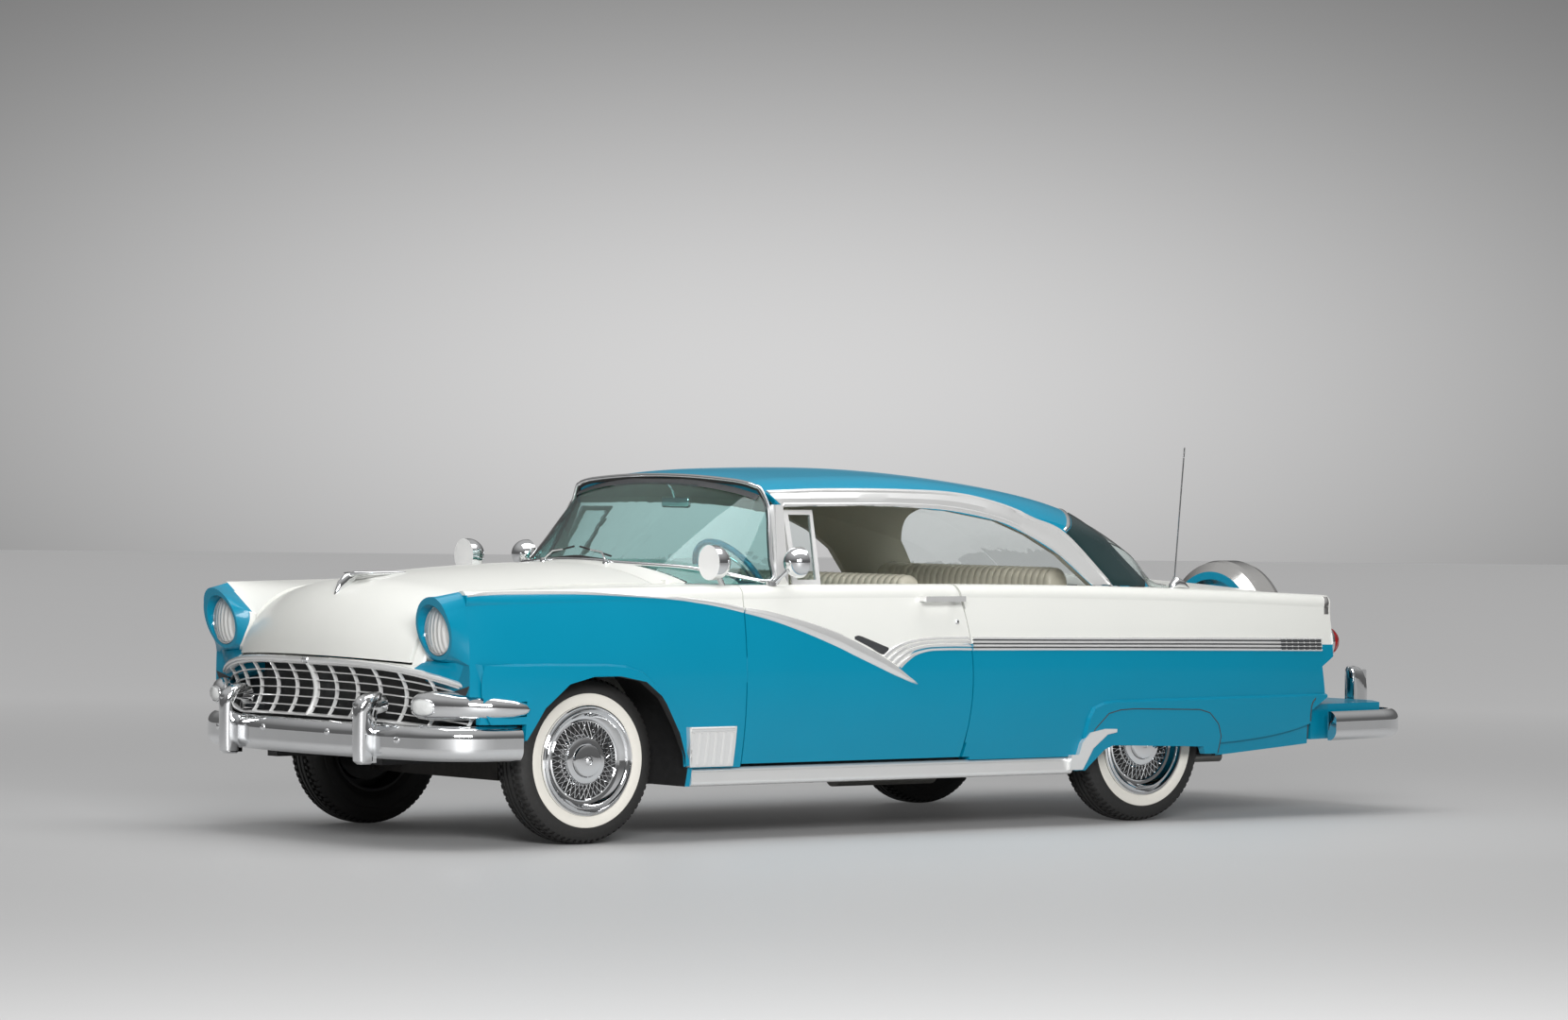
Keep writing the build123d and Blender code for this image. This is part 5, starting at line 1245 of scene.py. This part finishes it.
GRILLE_ROW_HALF = 852
GRILLE_TOP_HALF = 866
# Grille bars: height and depth; posts: width and how far they stand proud
FRAME_BAR = (14, 30)
THIN_BAR = (6.5, 11)
MAIN_POST = (20, 9)
THIN_POST = (6, 3)
POST_DEEP = 13
NOSE_TOP = [(2246, 160, 723), (2222, 330, 719), (2196, 480, 714), (2160, 610, 707), (2132, 645, 712)]
CORNER_TOP = [(2120, 607, 800), (2108, 625, 800), (2094, 648, 800)]
CORNER_LOW = [(2156, 607, 706), (2146, 625, 706), (2130, 648, 706)]
CHEEK_TOP = [
    (2120, 640, 722), (2118, 700, 726), (2116, 770, 720), (2104, 840, 722), (2082, 890, 722),
    (2052, 926, 715),
]
POD = [
    (2192, 664, 552, 5, 10), (2190, 674, 552, 20, 34), (2180, 700, 553, 36, 50),
    (2156, 744, 554, 46, 57), (2112, 806, 554, 50, 56), (2050, 868, 552, 50, 50),
    (1982, 914, 550, 44, 43), (1916, 942, 547, 34, 35), (1866, 954, 544, 22, 24),
    (1846, 957, 542, 6, 8),
]
FRONT_HORN = [
    (2290, 320, 22, 26), (2291, 332, 31, 40), (2291, 380, 33, 44), (2291, 470, 33, 44),
    (2290, 520, 35, 46), (2282, 556, 39, 50), (2266, 580, 38, 44), (2246, 594, 28, 30),
    (2234, 600, 10, 12),
]
REAR_HORN = [
    (-3014, 314, 22, 26), (-3014, 330, 32, 44), (-3014, 420, 33, 48), (-3014, 520, 34, 48),
    (-3008, 570, 35, 46), (-2998, 604, 32, 40), (-2986, 622, 22, 26), (-2978, 628, 8, 10),
]
GUARD_Y = 480
PANEL_THICK = 0.006
CLIP_Z = 712
LAMP_REACH = (52, 30)
POD_AIM = 0.34
POD_START = (2800, 728 + POD_AIM * 640, 548)


def grille_place(y, share):
    """A place on the concave grille: share runs from its foot to its top."""
    reach = abs(y) / GRILLE_REACH
    low = GRILLE_FOOT - GRILLE_FOOT_DROP * reach ** 3
    high = GRILLE_TOP - GRILLE_TOP_DROP * reach ** 3.8
    hollow = GRILLE_HOLLOW * 4 * share * (1 - share)
    return GRILLE_FRONT - GRILLE_BOW * reach ** 3.3 - hollow, between(low, high, share)


def crown_place(y):
    """Middle of the bright bar over the grille, and its height."""
    x, z = grille_place(y, 1)
    return x, z + 13, 28 - 8 * abs(y) / GRILLE_REACH


def grille_span(half):
    return [half * (2 * index / GRILLE_STEPS - 1) for index in range(GRILLE_STEPS + 1)]


def bar_section(proud, deep, back):
    """Section of a grille bar with a narrow front: (out, share of its width)."""
    waist = -deep * 0.4
    return [(proud, -0.25), (proud, 0.25), (waist, 0.5), (-deep, back), (-deep, -back), (waist, -0.5)]


def grille_bar(name, share, half, tall, deep):
    """One level bar that follows the grille's bow."""
    rows = []
    for y in grille_span(half):
        x, z = grille_place(y, share)
        rows.append([spot(x + out, y, z + tall * up) for out, up in bar_section(2, deep, 0.4)])
    return rows_grid(name, rows)


def grille_post(name, y, wide, deep, proud):
    """One upright of the grille, hollow like its face."""
    rows = []
    for index in range(11):
        x, z = grille_place(y, index / 10)
        section = bar_section(proud, deep, 0.5)
        rows.append([spot(x + out, y + wide * aside, z) for out, aside in section])
    return rows_grid(name, rows)


def grille(name):
    """Egg-crate grille: level bars crossed by uprights, with a heavy one in the middle."""
    foot = grille_bar(name, 0, GRILLE_FOOT_HALF, *FRAME_BAR)
    pieces = [foot, grille_bar(name, 1, GRILLE_TOP_HALF, *FRAME_BAR)]
    for row in range(GRILLE_ROWS):
        pieces.append(grille_bar(name, (row + 1) / (GRILLE_ROWS + 1), GRILLE_ROW_HALF, *THIN_BAR))
    for column in range(-GRILLE_COLUMNS, GRILLE_COLUMNS + 1):
        wide, proud = THIN_POST if column else MAIN_POST
        pieces.append(grille_post(name, column * GRILLE_FOOT_HALF / GRILLE_COLUMNS, wide, POST_DEEP, proud))
    return join(name, pieces)


def crown_rows():
    half = [(*crown_place(y)[:1], y, *crown_place(y)[1:]) for y in CROWN_SPAN] + CROWN_END
    line = [(x, -y, z, tall) for x, y, z, tall in reversed(half[1:])] + half
    rows = []
    for x, y, z, tall in line:
        rows.append([spot(x + out, y, z + tall * share) for out, share in CROWN_SECTION])
    return rows


def under(line):
    """The upper edge of the bright bar below each place of a line."""
    places = []
    for _, y, _ in line:
        x, z, tall = crown_place(y)
        places.append((x - 2, y, z + tall * 0.3))
    return places


def placed(line, side):
    return [spot(x, side * y, z) for x, y, z in line]


def horn(name, stations, side):
    """Upright guard with a rounded head that leans back."""
    rows = []
    for x, z, wide, deep in stations:
        rows.append([spot(x + deep * c, side * GUARD_Y + wide * s, z) for c, s in oval(24, 3)])
    return rows_grid(name, rows)


def bolt_row(name, node, from_x, along, places):
    """Round bolt heads on a bumper."""
    bolts = []
    for y, z in places:
        bolts.append(button("bolt", node, spot(from_x, y, z), along, BOLT_REACH, BOLT_RINGS, 20, 2))
    return bright(join(name, bolts))


class HARDTOP_OT_front(bpy.types.Operator):
    """Headlamps, parking lamps, grille, nose panels, guard horns, hood ornament and bumper bolts"""

    bl_idname = "hardtop.front"
    bl_label = "Front lamps, grille and ornament"

    def execute(self, context):
        lenses, bowls, rings = [], [], []
        lamp_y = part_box("headlamp_lenses")[1].y - 0.1
        for side in SIDES.values():
            seat = Vector((LAMP_SEAT.x, side * lamp_y, LAMP_SEAT.z))
            lenses.append(turned("lens", scaled(LENS_DOME), seat, (1, 0, 0), 64))
            bowls.append(turned("bowl", scaled(REFLECTOR), seat, (1, 0, 0), 48))
            bowls.append(turned("bulb", scaled(BULB), seat, (1, 0, 0), 20))
            rings.append(turned("ring", scaled(LAMP_RING), seat, (1, 0, 0), 64))
        lens = settle(join("fluted_headlamps", lenses), "car_body", "lamp_glass", finish("lens"))
        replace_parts(lens, "headlamp_lenses")
        bright(join("headlamp_bowls", bowls), "reflector")
        bright(join("headlamp_rings", rings))
        for word, side in SIDES.items():
            stations = [(spot(x, side * y, z), w * MM, t * MM) for x, y, z, w, t in POD]
            pod = oval_loft("bullet_pod_" + word, stations)
            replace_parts(bright(pod), "parking_pods")
            start = spot(POD_START[0], side * POD_START[1], POD_START[2])
            along = (-1, -side * POD_AIM, 0)
            lamp = button("parking_lamp_" + word, pod.name, start, along, LAMP_REACH, DOME_RINGS)
            settle(lamp, "car_body", "lamp_glass", finish("frosted"))
            rim = button("parking_rim_" + word, pod.name, start, along, LAMP_REACH, RIM_RINGS)
            bright(rim)
            bright(horn("guard_horn_" + word, FRONT_HORN, side))
            foot = placed(under(NOSE_TOP), side)
            nose = patch("nose_panel_" + word, placed(NOSE_TOP, side), foot, PANEL_THICK)
            corner = patch("nose_corner", placed(CORNER_TOP, side), placed(CORNER_LOW, side), PANEL_THICK)
            panel = join("nose_panel_" + word, [nose, corner])
            settle(panel, "car_body", "white_paint", finish("upper"), smooth=70)
            foot = placed(under(CHEEK_TOP), side)
            cheek = patch("cheek_panel_" + word, placed(CHEEK_TOP, side), foot, PANEL_THICK)
            settle(cheek, "car_body", "turquoise_paint", finish("lower"), smooth=70)
        bright(rows_grid("grille_crown", crown_rows()), "trim_painted_reflection")
        bars = bright(grille("egg_crate_grille"), "satin")
        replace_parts(bars, "grille")
        start = spot(FRONT_CLEAR, 0, CLIP_Z)
        clip = button("grille_clip", "grille_crown", start, (-1, 0, 0), (17, 19), BOLT_RINGS, 20, 3)
        bright(clip)
        bolt_row("bumper_bolts", "front_bumper", FRONT_CLEAR, (-1, 0, 0), BUMPER_BOLTS)
        jet = bright(ornament("jet_ornament"), body="hood")
        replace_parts(jet, "hood_ornament")
        return {"FINISHED"}


def ornament(name):
    """Jet-shaped hood ornament: a body that rises from the nose and two swept wings."""
    body = oval_loft(name, [(spot(x, 0, z), wide * MM, tall * MM) for x, z, wide, tall in ORNAMENT])
    wings = []
    for side in SIDES.values():
        rows = [
            (spot((front + back) / 2, side * y, 1046 + y * 0.05), (front - back) / 2 * MM, thick * MM)
            for y, front, back, thick in WING
        ]
        wings.append(oval_loft("wing", rows))
    return join(name, [body] + wings)


# Rear: lamps, fin caps, seams, antenna foot, cover edge and bolts
TAIL_LENS = [(0, 84), (16, 82), (34, 75), (50, 62), (60, 47), (66, 30), (68, 12), (68, 0), (0, 0)]
TAIL_RING = [(68, 0), (68, 11), (70, 16), (75, 16), (78, 10), (79, 0), (68, 0)]
TAIL_SEAT = (-2450, 840, 752)
FIN_LOW = [(-2444, 872), (-2452, 912), (-2462, 946)]
FIN_HIGH = [(-2416, 872), (-2424, 912), (-2434, 948)]
SKIRT_SEAM = [
    (-1018, 300), (-1065, 407), (-1133, 470), (-1197, 485), (-1277, 488), (-1646, 478),
    (-1707, 463), (-1763, 414), (-1786, 360), (-1781, 288),
]
ANTENNA_FOOT = [
    (-1588, 988, 8, 3), (-1600, 996, 20, 14), (-1622, 1010, 24, 26), (-1652, 1004, 22, 20),
    (-1690, 988, 8, 4),
]
SPLASH_SEAM = [(-2330, 512), (-2312, 490), (-2307, 457), (-2311, 400), (-2320, 318)]
COVER_EDGE = 0.282
REAR_BOLTS = [(620, 400), (-620, 400), (300, 400), (-300, 400)]


class HARDTOP_OT_rear(bpy.types.Operator):
    """Tail lamps, fin caps, guard horns, seams, bolts, antenna foot and the spare cover's edge"""

    bl_idname = "hardtop.rear"
    bl_label = "Rear lamps and cover"

    def execute(self, context):
        lenses, rings = [], []
        for word, side in SIDES.items():
            seat = spot(TAIL_SEAT[0], side * TAIL_SEAT[1], TAIL_SEAT[2])
            lenses.append(turned("lens", scaled(TAIL_LENS), seat, (-1, 0, 0), 56))
            rings.append(turned("ring", scaled(TAIL_RING), seat, (-1, 0, 0), 56))
            quarter = "quarter_" + word
            cap = laid_strip("fin_cap_" + word, quarter, side, FIN_LOW, FIN_HIGH, FLAT_RIDGE)
            bright(cap, "stainless")
            bright(horn("rear_horn_" + word, REAR_HORN, side))
            lines = [
                seam("seam", "fender_skirts", side, SKIRT_SEAM, 0.0022),
                seam("seam", quarter, side, SPLASH_SEAM, 0.003),
            ]
            settle(join("panel_seams_" + word, lines), "car_body", "black_steel", finish("dark_insert_and_shade"))
        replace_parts(settle(join("bullet_lamps", lenses), "car_body", "red_lens", finish("red")), "tail_lamps")
        bright(join("tail_lamp_rings", rings))
        bolt_row("rear_bumper_bolts", "rear_bumper", REAR_CLEAR, (1, 0, 0), REAR_BOLTS)
        foot = oval_loft("antenna_foot", [(spot(x, 820, z), w * MM, t * MM) for x, z, w, t in ANTENNA_FOOT])
        bright(foot)
        edge_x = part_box("spare_wheel")[0].x + 0.006
        edge = circle(Vector((edge_x, 0, SPARE_MIDDLE.z)), UPWARD, LEFTWARD, COVER_EDGE, 72)
        bright(tube("cover_bead", edge, 0.006, cyclic=True))
        return {"FINISHED"}


# Cabin: bench outlines as (x, z, how far the pleats show) in millimetres
FRONT_CUSHION = [
    (-236, 432, 0), (-240, 560, 0), (-215, 612, 0.2), (-120, 624, 1), (60, 628, 1), (200, 622, 1),
    (262, 606, 0.4), (290, 566, 0), (289, 490, 0), (280, 432, 0),
]
FRONT_BACK = [
    (-382, 592, 0), (-386, 700, 0), (-376, 900, 0), (-366, 1010, 0), (-345, 1042, 0.3),
    (-300, 1046, 0.7), (-266, 1022, 1), (-258, 960, 1), (-240, 800, 1), (-222, 660, 1),
    (-226, 606, 0.4), (-262, 584, 0),
]
REAR_CUSHION = [
    (-1128, 432, 0), (-1130, 560, 0), (-1100, 604, 0.2), (-1000, 616, 1), (-850, 620, 1),
    (-740, 612, 1), (-694, 596, 0.4), (-670, 556, 0), (-670, 480, 0), (-680, 432, 0),
]
REAR_BACK = [
    (-1220, 570, 0), (-1226, 700, 0), (-1222, 900, 0), (-1216, 1030, 0), (-1196, 1068, 0.3),
    (-1150, 1072, 0.7), (-1116, 1046, 1), (-1106, 980, 1), (-1080, 820, 1), (-1050, 660, 1),
    (-1050, 600, 0.4), (-1090, 572, 0),
]
PLEAT_STEPS = 6
PLEAT_DEPTH = 14
BENCH_END = 50
BENCH_TAPER = 0.1
BENCHES = {
    "front_cushion": (FRONT_CUSHION, 636), "front_backrest": (FRONT_BACK, 636),
    "rear_cushion": (REAR_CUSHION, 586), "rear_backrest": (REAR_BACK, 586),
}
HORN_LIFT = 0.02
HORN_RADIUS = 0.12
HORN_CAP = [(0, 34), (20, 32), (34, 24), (38, 12), (38, 0), (0, 0)]
DIALS = [(385, (150, 42)), (60, (70, 34)), (-120, (40, 40)), (-420, (120, 26))]
DIAL_START = (150, 985)
DIAL_RINGS = [(1, -2), (1, 2), (0.5, 3), (0.05, 3)]
STEER_HUB = spot(427, 385, 1006)
STEER_AXIS = Vector((-math.cos(math.radians(32)), 0, math.sin(math.radians(32))))


def bench(name, outline, half, pitch):
    """A crowned bench pad sewn into pleats that run down its outline."""
    loop = spline([Vector(p) for p in outline + outline[:1]], 4)[:-1]
    heart = sum(loop, Vector()) / len(loop)
    count = max(1, round(2 * half / (pitch / MM)))
    rows = []
    for index in range(count * PLEAT_STEPS + 1):
        share = index / (count * PLEAT_STEPS)
        y = half * (2 * share - 1)
        crown = math.sin(math.pi * ((index / PLEAT_STEPS) % 1)) ** 0.5
        inset = max(0, abs(y) - half + BENCH_END) / BENCH_END
        row = []
        for point in loop:
            arm = Vector((point.x - heart.x, point.y - heart.y, 0))
            reach = arm.length * (1 - BENCH_TAPER * inset ** 3) - PLEAT_DEPTH * point.z * (1 - crown)
            place = arm.normalized() * reach
            row.append(spot(heart.x + place.x, y, heart.y + place.y))
        rows.append(row)
    return rows_grid(name, rows)


class HARDTOP_OT_cabin(bpy.types.Operator):
    """Pleated benches, horn ring and dials"""

    bl_idname = "hardtop.cabin"
    bl_label = "Cabin"

    def execute(self, context):
        pitch = context.scene.hardtop_sizes.pleat
        for name, (outline, half) in BENCHES.items():
            pad = bench(name, outline, half, pitch)
            settle(pad, "car_body", "seat_vinyl", finish("vinyl"), smooth=50)
            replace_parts(pad, name.split("_")[0] + "_seat")
        heart = STEER_HUB + STEER_AXIS * HORN_LIFT
        ring = circle(heart, LEFTWARD, STEER_AXIS.cross(LEFTWARD), HORN_RADIUS, 48)
        parts = [tube("ring", ring, 0.005, cyclic=True)]
        for side in SIDES.values():
            parts.append(tube("spoke", [heart, heart + LEFTWARD * side * HORN_RADIUS], 0.006))
        parts.append(turned("cap", scaled(HORN_CAP), STEER_HUB + STEER_AXIS * 0.008, STEER_AXIS, 32))
        bright(join("horn_ring", parts), body="steering_wheel")
        dials, rims = [], []
        for y, reach in DIALS:
            start = spot(DIAL_START[0], y, DIAL_START[1])
            dials.append(button("dial", "dashboard", start, (1, 0, 0), reach, DIAL_RINGS, 40, 3))
            rims.append(button("rim", "dashboard", start, (1, 0, 0), reach, RIM_RINGS, 40, 3))
        settle(join("dash_dials", dials), "car_body", "black_steel", finish("dial"))
        bright(join("dash_rims", rims))
        return {"FINISHED"}


# Stage

CAMERA_PLACE = (14.9062, 18.75215, 1.48425)
CAMERA_TURN = (4.04799666, -0.00746456, 0.00954321)
AHEAD = Vector((math.cos(CAMERA_TURN[0]), math.sin(CAMERA_TURN[0]), 0))
ASIDE = Vector((-AHEAD.y, AHEAD.x, 0))
PAPER_WHITE = (1, 0.995, 0.995, 1)
ROOM_STEPS = [(0.0, 0.03), (0.22, 0.06), (0.7, 0.6)]
# Softboxes: place, aim and size in metres
TOP_BOX = [(0.6, 0.8, 5.2), (0.3, 0, 0.6), (6.5, 3.6)]
FRONT_BOX = [(9.0, 13.5, 5.5), (0.4, 0, 0.7), (7.5, 3.2)]
FLOOR_LINES = (-70, -25, -10, -4, 0, 4, 10, 25, 70)
HAZE_LOW = 0.09
FLOOR_GAIN = 0.16
FLOOR_HAZE = 25.0
FLOOR_LIT = -12.0
FLOOR_NEAR = 10.0
FLOOR_FAR = 24.0
SKY_GAIN = 0.55
SKY_HAZE = (0.17, 0.065)
SKY_RISE = 0.015


class HARDTOP_OT_stage(bpy.types.Operator):
    """Floor, room, softboxes and camera"""

    bl_idname = "hardtop.stage"
    bl_label = "Stage"

    def execute(self, context):
        stage = context.scene.hardtop_stage
        floor = studio_floor(stage.floor_grey)
        softbox("top_softbox", *TOP_BOX, stage.top_light)
        softbox("front_softbox", *FRONT_BOX, stage.front_light)
        room(stage.room_light)
        camera(stage.lens)
        context.scene.view_settings.view_transform = "Standard"
        return {"FINISHED"}


def seen(tree):
    """One for what the eye sees straight, in bright metal or through glass."""
    path = add_node(tree, "ShaderNodeLightPath").outputs
    mirrored = joined(tree, "MAXIMUM", path["Is Glossy Ray"], path["Is Transmission Ray"])
    return joined(tree, "MAXIMUM", path["Is Camera Ray"], mirrored)


def haze(tree, place, gain, spreads):
    """Backdrop brightness that fades sideways from a middle: spreads are (axis, reach)."""
    total = None
    for axis, reach in spreads:
        part = add_node(tree, "ShaderNodeVectorMath", operation="DOT_PRODUCT")
        part.inputs[1].default_value = axis / reach
        tree.links.new(place, part.inputs[0])
        square = joined(tree, "MULTIPLY", part.outputs["Value"], part.outputs["Value"])
        total = joined(tree, "ADD", total, square) if total else square
    fall = add_node(tree, "ShaderNodeMath", operation="POWER")
    fall.inputs[0].default_value = math.e
    tree.links.new(compare(tree, total, "MULTIPLY", -1), fall.inputs[1])
    return compare(tree, compare(tree, fall.outputs[0], "MULTIPLY", gain), "ADD", HAZE_LOW)


def studio_floor(grey):
    """Wide pale floor that melts into the backdrop far from the car."""
    rows = [[AHEAD * back + ASIDE * aside for aside in FLOOR_LINES] for back in FLOOR_LINES]
    obj = rows_grid("studio_floor", rows, ring=False)
    material, tree, shader = shader_of("studio_floor")
    place = object_place(tree)
    drift = noise(tree, 0.4, 2, place)
    tree.links.new(tone(tree, drift, (grey * 0.985,) * 3, (grey,) * 3), shader.inputs["Base Color"])
    shift = add_node(tree, "ShaderNodeVectorMath", operation="SUBTRACT")
    shift.inputs[1].default_value = AHEAD * FLOOR_LIT
    tree.links.new(place, shift.inputs[0])
    length = add_node(tree, "ShaderNodeVectorMath", operation="LENGTH")
    tree.links.new(shift.outputs[0], length.inputs[0])
    far = spread(tree, length.outputs["Value"], 0, 1, (FLOOR_NEAR, FLOOR_FAR))
    shine = joined(tree, "MULTIPLY", far, haze(tree, place, FLOOR_GAIN, [(ASIDE, FLOOR_HAZE)]))
    tree.links.new(joined(tree, "MULTIPLY", shine, seen(tree)), shader.inputs["Emission Strength"])
    shader.inputs["Emission Color"].default_value = PAPER_WHITE
    shader.inputs["Roughness"].default_value = 0.5
    shader.inputs["Specular IOR Level"].default_value = 0.18
    dress(obj, material)
    return obj


def softbox(name, place, aim, size, power):
    deselect()
    bpy.ops.object.light_add(type="AREA", location=place)
    lamp = bpy.context.object
    lamp.name = name
    lamp.data.shape = "RECTANGLE"
    lamp.data.size, lamp.data.size_y = size
    lamp.data.energy = power
    lamp.rotation_mode = "QUATERNION"
    lamp.rotation_quaternion = (Vector(aim) - Vector(place)).to_track_quat("-Z", "Y")


def room(strength):
    """Grey room with a darker ceiling, which the bright trim mirrors."""
    world = bpy.data.worlds.new("studio_room")
    bpy.context.scene.world = world
    world.use_nodes = True
    tree = world.node_tree
    backdrop = tree.nodes["Background"]
    place = add_node(tree, "ShaderNodeTexCoord").outputs["Generated"]
    axes = add_node(tree, "ShaderNodeSeparateXYZ")
    tree.links.new(place, axes.inputs[0])
    ramp = add_node(tree, "ShaderNodeValToRGB")
    ramp.color_ramp.elements.new(0.5)
    for step, (position, level) in zip(ramp.color_ramp.elements, ROOM_STEPS):
        step.position = position
        step.color = (level, level, level, 1)
    tree.links.new(axes.outputs["Z"], ramp.inputs["Fac"])
    tree.links.new(ramp.outputs["Color"], backdrop.inputs["Color"])
    backdrop.inputs["Strength"].default_value = strength
    shift = add_node(tree, "ShaderNodeVectorMath", operation="SUBTRACT")
    shift.inputs[1].default_value = UPWARD * SKY_RISE
    tree.links.new(place, shift.inputs[0])
    glow = haze(tree, shift.outputs[0], SKY_GAIN, list(zip((ASIDE, UPWARD), SKY_HAZE)))
    paper = add_node(tree, "ShaderNodeBackground")
    paper.inputs["Color"].default_value = PAPER_WHITE
    tree.links.new(joined(tree, "MULTIPLY", glow, seen(tree)), paper.inputs["Strength"])
    both = add_node(tree, "ShaderNodeAddShader")
    tree.links.new(backdrop.outputs[0], both.inputs[0])
    tree.links.new(paper.outputs[0], both.inputs[1])
    tree.links.new(both.outputs[0], tree.nodes["World Output"].inputs["Surface"])


def camera(lens):
    deselect()
    yaw, pitch, roll = CAMERA_TURN
    ahead = Vector((math.cos(yaw) * math.cos(pitch), math.sin(yaw) * math.cos(pitch), math.sin(pitch)))
    right = Vector((math.sin(yaw), -math.cos(yaw), 0))
    up = right.cross(ahead)
    across = right * math.cos(roll) + up * math.sin(roll)
    upward = up * math.cos(roll) - right * math.sin(roll)
    bpy.ops.object.camera_add(location=CAMERA_PLACE)
    cam = bpy.context.object
    turn = Matrix((across, upward, -ahead)).transposed().to_4x4()
    cam.matrix_world = Matrix.Translation(CAMERA_PLACE) @ turn
    cam.data.sensor_width = 36
    cam.data.lens = lens
    cam.data.clip_end = 400
    bpy.context.scene.camera = cam


PIECES = [
    HARDTOP_OT_paint, HARDTOP_OT_wheels, HARDTOP_OT_side_trim, HARDTOP_OT_glasshouse,
    HARDTOP_OT_front, HARDTOP_OT_rear, HARDTOP_OT_cabin, HARDTOP_OT_stage,
]


class HARDTOP_PT_sidebar(bpy.types.Panel):
    """Lists the groups of pieces"""

    bl_label = "Hardtop"
    bl_idname = "HARDTOP_PT_sidebar"
    bl_space_type = "VIEW_3D"
    bl_region_type = "UI"
    bl_category = "Hardtop"

    def draw(self, context):
        for settings in ("hardtop_colours", "hardtop_sizes", "hardtop_stage"):
            box = self.layout.box()
            group = getattr(context.scene, settings)
            for key in group.__annotations__:
                box.prop(group, key)
        for piece in PIECES:
            self.layout.operator(piece.bl_idname)


SETTINGS = {"hardtop_colours": HardtopColours, "hardtop_sizes": HardtopSizes, "hardtop_stage": HardtopStage}


def register():
    for cls in [*SETTINGS.values(), *PIECES, HARDTOP_PT_sidebar]:
        bpy.utils.register_class(cls)
    for name, cls in SETTINGS.items():
        setattr(bpy.types.Scene, name, PointerProperty(type=cls))


def unregister():
    for name in SETTINGS:
        delattr(bpy.types.Scene, name)
    for cls in [HARDTOP_PT_sidebar, *reversed(PIECES), *SETTINGS.values()]:
        bpy.utils.unregister_class(cls)


def main():
    register()
    bpy.ops.hardtop.paint()
    bpy.ops.hardtop.wheels()
    bpy.ops.hardtop.side_trim()
    bpy.ops.hardtop.glasshouse()
    bpy.ops.hardtop.front()
    bpy.ops.hardtop.rear()
    bpy.ops.hardtop.cabin()
    bpy.ops.hardtop.stage()


if __name__ == "__main__":
    main()
